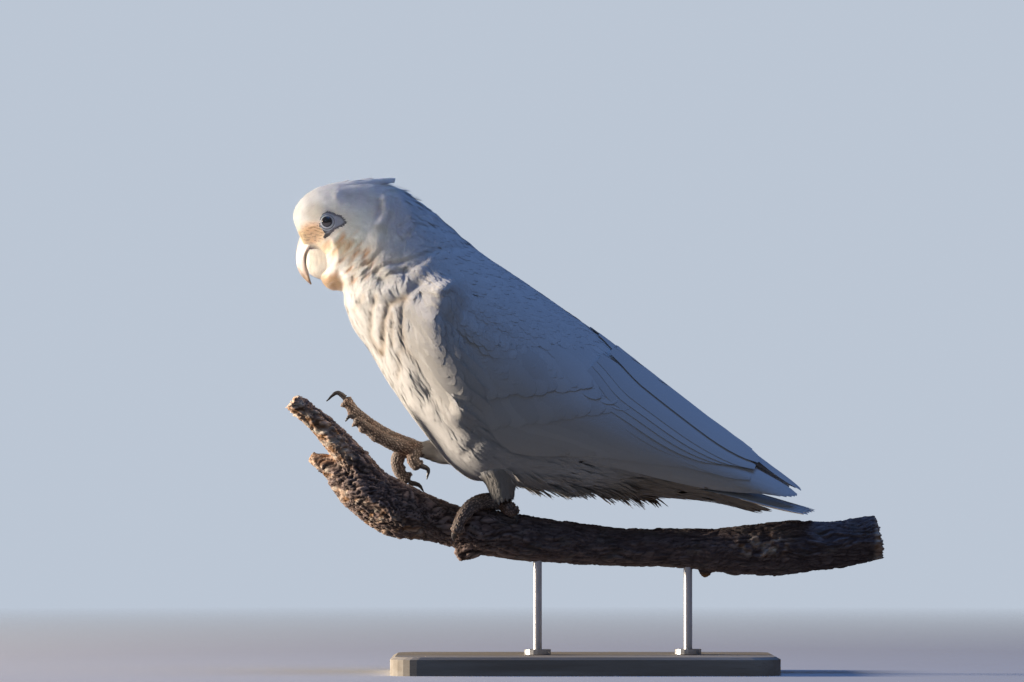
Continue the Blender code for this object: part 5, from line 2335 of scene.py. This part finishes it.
    @staticmethod
    def bare(points: Array, normals: Array) -> Array:
        """Where the bark has come off and the pale wood shows, from 0 to 1, with pale chips on the underside
        at the left that are painted light.

        Args:
            points: where to tell it.
            normals: the way that the bark faces there.

        Returns:
            The share of bare wood.
        """
        x, z = points[:, 0] / MM, points[:, 2] / MM
        patchy = ease(-0.5, 0.4, ripple(points, (7 * MM, 7 * MM, 5 * MM), 31))
        scar = Spot(106.0, 76.0, 22.0, 9.0, (1.0,)).share(points) * (points[:, 1] < 0)
        upper = normals @ np.array((0.72, 0.0, 0.69))
        stub = ease(-134.0, -142.0, x) * ease(122.0, 130.0, z) * ease(0.85, 0.45, upper)
        ends = ease(172.0, 175.0, x) + ease(-167.0, -170.0, x) + ease(-160.0, -163.0, x) * (z < 135.0)
        lower = normals @ np.array((-0.6, 0.0, -0.8))
        flakes = ease(-0.1, 0.35, ripple(points, (6 * MM,) * 3, 36))
        # painted light: pale wood chips on the underside at the left, where a pool of light is painted
        chips = ease(-90.0, -106.0, x) * ease(0.1, 0.6, lower) * flakes
        return np.clip(scar * patchy + stub * (0.65 + 0.35 * patchy) + ends + 0.85 * chips, 0, 1)

    @staticmethod
    def splinters(points: Array) -> Array:
        """How far the broken ends stand out in splinters.

        Args:
            points: points on the bark.

        Returns:
            How far each of them moves.
        """
        rough = np.abs(ripple(points, (400 * MM, 2.4 * MM, 2.4 * MM), 33, 12))
        right = ease(173.5, 175.5, points[:, 0] / MM)
        left = ease(-168.0, -172.0, points[:, 0] / MM)
        out = np.zeros_like(points)
        out[:, 0] = (right * 1.5 - left * 1.5) * rough * MM
        return out

    @staticmethod
    def tint(points: Array, fibres: Array, gap: Array, left: Array, bare: Array) -> Array:
        """Dark bark, greyer on the plates, with painted shade in the cracks, painted light on the left, and
        tan and orange wood where it is bare.

        Args:
            points: points on the bark.
            fibres, gap: its relief there.
            left: 1 on the left, where the bark is greyer and is painted lighter and redder as painted light
                from the lamp's side.
            bare: the share of bare wood.

        Returns:
            The colours.
        """
        # painted light: the left part, towards the lamp, is made lighter and redder, as well as greyer bark
        base = blend(plain((0.19, 0.145, 0.145), points), (0.36, 0.25, 0.215), 0.8 * left)
        grey = np.clip(0.7 * gap * (0.5 + 0.5 * fibres), 0, 1) * (0.45 + 0.55 * left)
        tint = blend(base, (0.62, 0.52, 0.49), grey)
        lichen = ease(0.45, 0.9, ripple(points, (16 * MM, 12 * MM, 12 * MM), 34))
        tint = blend(tint, (0.25, 0.22, 0.20), 0.5 * lichen)
        # painted shade: near black in the cracks between the plates, partly the bark's own dark furrows
        tint = blend(tint, (0.022, 0.017, 0.015), 0.7 * (1 - gap) * (0.4 + 0.6 * left))
        chips = ripple(points, (9 * MM, 6 * MM, 4 * MM), 35)
        wood = blend(plain((0.90, 0.66, 0.50), points), (0.88, 0.78, 0.66), ease(0.0, 0.8, chips))
        wood = blend(wood, (0.46, 0.25, 0.12), ease(-0.1, -0.8, chips))
        wood = blend(wood, (0.15, 0.09, 0.07), 0.6 * ease(-0.1, -0.8, fibres))
        knot = ease(61.0, 57.5, points[:, 2] / MM) * hill(points[:, 0] / MM, 72.0, 9.0)
        tint = tint * (1 - bare[:, None]) + wood * bare[:, None]
        return blend(tint, (0.45, 0.22, 0.08), knot)


# === The stand and the room ===
@dataclass
class Stand:
    """The plain base and its two rods, which keep their solids and take a finish."""

    def build(self) -> None:
        """Finishes the base and the rods."""
        for name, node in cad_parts.items():
            if name.startswith("stand_"):
                finish = WoodFinish() if name == "stand_base" else MetalFinish()
                for slot in node.material_slots:
                    slot.material = finish.material()


MIDDLE = (-0.0432, 0.0, 0.1986)  # the middle of the view, between the bird and the perch


@dataclass(frozen=True)
class Lamp:
    """A soft square lamp: where it hangs, its width, its power in watts, its colour, aim and beam."""

    name: str
    at: Triple
    size: float
    power: float
    colour: Triple
    aim: Triple = MIDDLE
    spread: float = 180.0  # degrees

    def hang(self) -> None:
        """Adds the lamp to the room."""
        data = bpy.data.lights.new(self.name, "AREA")
        data.size, data.energy, data.color = self.size, self.power, self.colour
        data.spread = math.radians(self.spread)
        lamp = bpy.data.objects.new(self.name, data)
        lamp.location = self.at
        lamp.rotation_euler = (Vector(self.aim) - Vector(self.at)).to_track_quat("-Z", "Y").to_euler()
        lamp.visible_camera = False
        bpy.context.scene.collection.objects.link(lamp)


@dataclass
class Studio:
    """The camera, a plain pale floor and soft studio light."""

    aim: Triple = MIDDLE
    distance: float = 3.0
    looks_up: float = 2.0  # degrees
    lens: float = 176.0
    pale: Triple = (0.50, 0.565, 0.66)  # what the camera sees behind
    shade: Triple = (0.044, 0.046, 0.058)  # what lights the shaded side
    floor_half: float = 6.0
    floor_fades: tuple[float, float] = (2.2, 0.55)  # how far off it is gone, and how far it is whole
    floor_colours: tuple[Triple, Triple] = ((0.78, 0.79, 0.81), (0.80, 0.81, 0.83))
    lamps: tuple[Lamp, ...] = (
        Lamp("key", (-3.51, 0.34, 0.62), 0.46, 250.0, (1.0, 0.86, 0.70)),
        Lamp("face", (-1.06, -1.01, 0.33), 0.05, 0.0142, (1.0, 0.93, 0.85), (-0.176, -0.02, 0.251), 4.4),
        Lamp("fill", (-0.9, -1.9, 1.0), 0.35, 1.3, (0.45, 0.70, 1.0)),
        Lamp("sky", (0.25, -0.28, 1.9), 1.2, 9.0, (0.12, 0.36, 1.0)),
    )

    def build(self) -> None:
        """Builds the room."""
        self.camera()
        self.floor()
        for lamp in self.lamps:
            lamp.hang()
        self.room()
        bpy.context.scene.view_settings.view_transform = "Standard"

    def room(self) -> None:
        """A pale room that gives less light than it shows, so that the bird's shaded side stands out."""
        world = bpy.data.worlds.new("room")
        world.use_nodes = True
        tree = world.node_tree
        background = tree.nodes["Background"]
        seen = tree.nodes.new("ShaderNodeLightPath").outputs["Is Camera Ray"]
        mix = tree.nodes.new("ShaderNodeMix")
        mix.data_type = "RGBA"
        mix.inputs[6].default_value, mix.inputs[7].default_value = (*self.shade, 1.0), (*self.pale, 1.0)
        tree.links.new(seen, mix.inputs[0])
        tree.links.new(mix.outputs[2], background.inputs["Color"])
        bpy.context.scene.world = world

    def camera(self) -> None:
        """A long lens, level with the perch, looking a little upwards."""
        data = bpy.data.cameras.new("camera")
        data.lens, data.sensor_width = self.lens, 36.0
        data.clip_start, data.clip_end = 0.05, 60.0
        camera = bpy.data.objects.new("camera", data)
        tilt = math.radians(self.looks_up)
        back = Vector((0.0, -math.cos(tilt), -math.sin(tilt)))
        camera.location = Vector(self.aim) + back * self.distance
        camera.rotation_euler = (math.radians(90.0 + self.looks_up), 0.0, 0.0)
        bpy.context.scene.collection.objects.link(camera)
        bpy.context.scene.camera = camera

    def floor(self) -> None:
        """A wide floor that fades into the pale room well behind the stand."""
        mesh = bpy.data.meshes.new("floor")
        half = self.floor_half
        corners = [(-half, -half, 0), (half, -half, 0), (half, half, 0), (-half, half, 0)]
        mesh.from_pydata(corners, [], [(0, 1, 2, 3)])
        recipe = Recipe("floor")
        place = recipe.place()
        far = recipe.node("ShaderNodeVectorMath", {0: place}, operation="LENGTH").outputs["Value"]
        grain = recipe.noise(place, 30.0)
        recipe.set(Base_Color=recipe.mix(grain, *self.floor_colours), Roughness=0.9, Specular_IOR_Level=0.0)
        recipe.set(Alpha=recipe.ramp(far, *self.floor_fades))
        mesh.materials.append(recipe.material)
        floor = bpy.data.objects.new("floor", mesh)
        bpy.context.scene.collection.objects.link(floor)
        floor.visible_diffuse = False  # no light comes up from it, so that the bird's underside stays dark


THIGH_LEFT = Limb([
    (-61, -11.5, 146, 21), (-58, -13, 135, 17.2), (-54.5, -14, 126, 13.2),
    (-50.6, -14.8, 118, 10.4), (-48.8, -15.2, 108, 7.4),
])
THIGH_RIGHT = Limb([
    (-60, 18, 146, 18), (-72, 19, 137, 12.8), (-83.5, 19.2, 133.4, 8.6), (-91, 18.9, 133.3, 6.4),
])
TOES_LEFT = (  # the place along the branch, the angle round it from the top in degrees, and the radius
    Toe(1, [(-50.5, 10, 3.4), (-46.5, 26, 3.2), (-44, 42, 2.6)],
        [(-43.4, 45.5, 1.7), (-42, 60, 1.2), (-42.4, 75, 0.35)]),
    Toe(2, [(-51, 6, 3.7), (-60, 26, 3.5), (-66, 50, 3.1), (-69, 74, 2.6)],
        [(-69.4, 77, 1.7), (-71.5, 92, 1.2), (-72.5, 106, 0.35)]),
    Toe(3, [(-51, -8, 4.4), (-61, -12, 4.6), (-69, -34, 4.2), (-73.5, -62, 3.8),
            (-76, -98, 3)],
        [(-76.2, -102.5, 1.9), (-76.4, -115, 1.4), (-75.4, -130, 0.35)]),
    Toe(4, [(-51.5, -16, 3.5), (-47, -32, 3.3), (-43.8, -39, 2.7)],
        [(-43.2, -40.5, 1.7), (-41.4, -48, 1.3), (-41.6, -60, 0.35)]),
)
TOES_RIGHT = (  # x, y, z and the radius
    Toe(1, [(-101.5, 17, 133.5, 4.2), (-103, 14.5, 127.5, 3.4), (-100.6, 13.5, 123.6, 2.9)],
        [(-98.2, 13.2, 124.2, 1.8), (-93.6, 13, 121.6, 1.3), (-94.4, 12.8, 115.8, 0.35)]),
    Toe(2, [(-104, 16.5, 134, 4.4), (-114, 14.5, 137, 4.1), (-123.5, 13, 142, 3.7),
            (-132, 12.4, 147.6, 3.2), (-136.4, 12.2, 151.6, 2.6)],
        [(-137.6, 12.2, 153, 1.6), (-140.8, 12.2, 153.6, 1.2), (-143.4, 12.2, 150.6, 0.35)]),
    Toe(3, [(-104, 19.5, 136, 4.4), (-116, 21.5, 141, 4.1), (-127.5, 22.5, 148, 3.7),
            (-138, 23, 156.4, 3.4), (-142.6, 23, 163.4, 2.8)],
        [(-143.8, 23, 165, 1.8), (-149, 23, 168, 1.3), (-155.2, 23, 163, 0.35)]),
    Toe(4, [(-106.5, 20, 134.5, 4.2), (-112, 20.5, 129, 3.8), (-111.5, 20.5, 121.5, 3.5),
            (-107, 20, 115.6, 2.9)],
        [(-105.4, 19.9, 114, 1.8), (-99.4, 19.6, 112.4, 1.3), (-96.4, 19.4, 108.4, 0.35)]),
)


def main() -> None:
    """Builds the whole model in order."""
    logging.basicConfig(level=logging.INFO, format="%(message)s")
    body = Body()
    Skin(body, (THIGH_LEFT, THIGH_RIGHT)).build()
    Coat(body).build()
    Tufts(body).build()
    Thigh(body, THIGH_LEFT).build("thigh_left_coat", 140)
    Thigh(body, THIGH_RIGHT).build("thigh_right_coat", 150)
    Wing(body, -1, 0.9).build("left")
    Wing(body, 1, 2.0).build("right")
    Tail().build()
    Crest(body).build()
    for side in (-1, 1):
        Eye(body, side).build()
    Bill().build()
    branch = Branch()
    branch.build()
    Foot("foot_left", Grip.ON_BRANCH, branch,
         [(-49.3, -16, 110.5, 3.7), (-49.6, -14.6, 105.6, 3.9), (-50.8, -9.6, 101.9, 4.1)],
         (-51.6, -7, 102.4, 4.3), TOES_LEFT).build()
    Foot("foot_right", Grip.RAISED, branch,
         [(-91, 19.2, 133.2, 4.2), (-97, 18.8, 133.6, 4.6), (-103, 18.2, 134.4, 5)],
         (-104, 18, 134.6, 5.6), TOES_RIGHT).build()
    Stand().build()
    Studio().build()


if __name__ == "__main__":
    main()
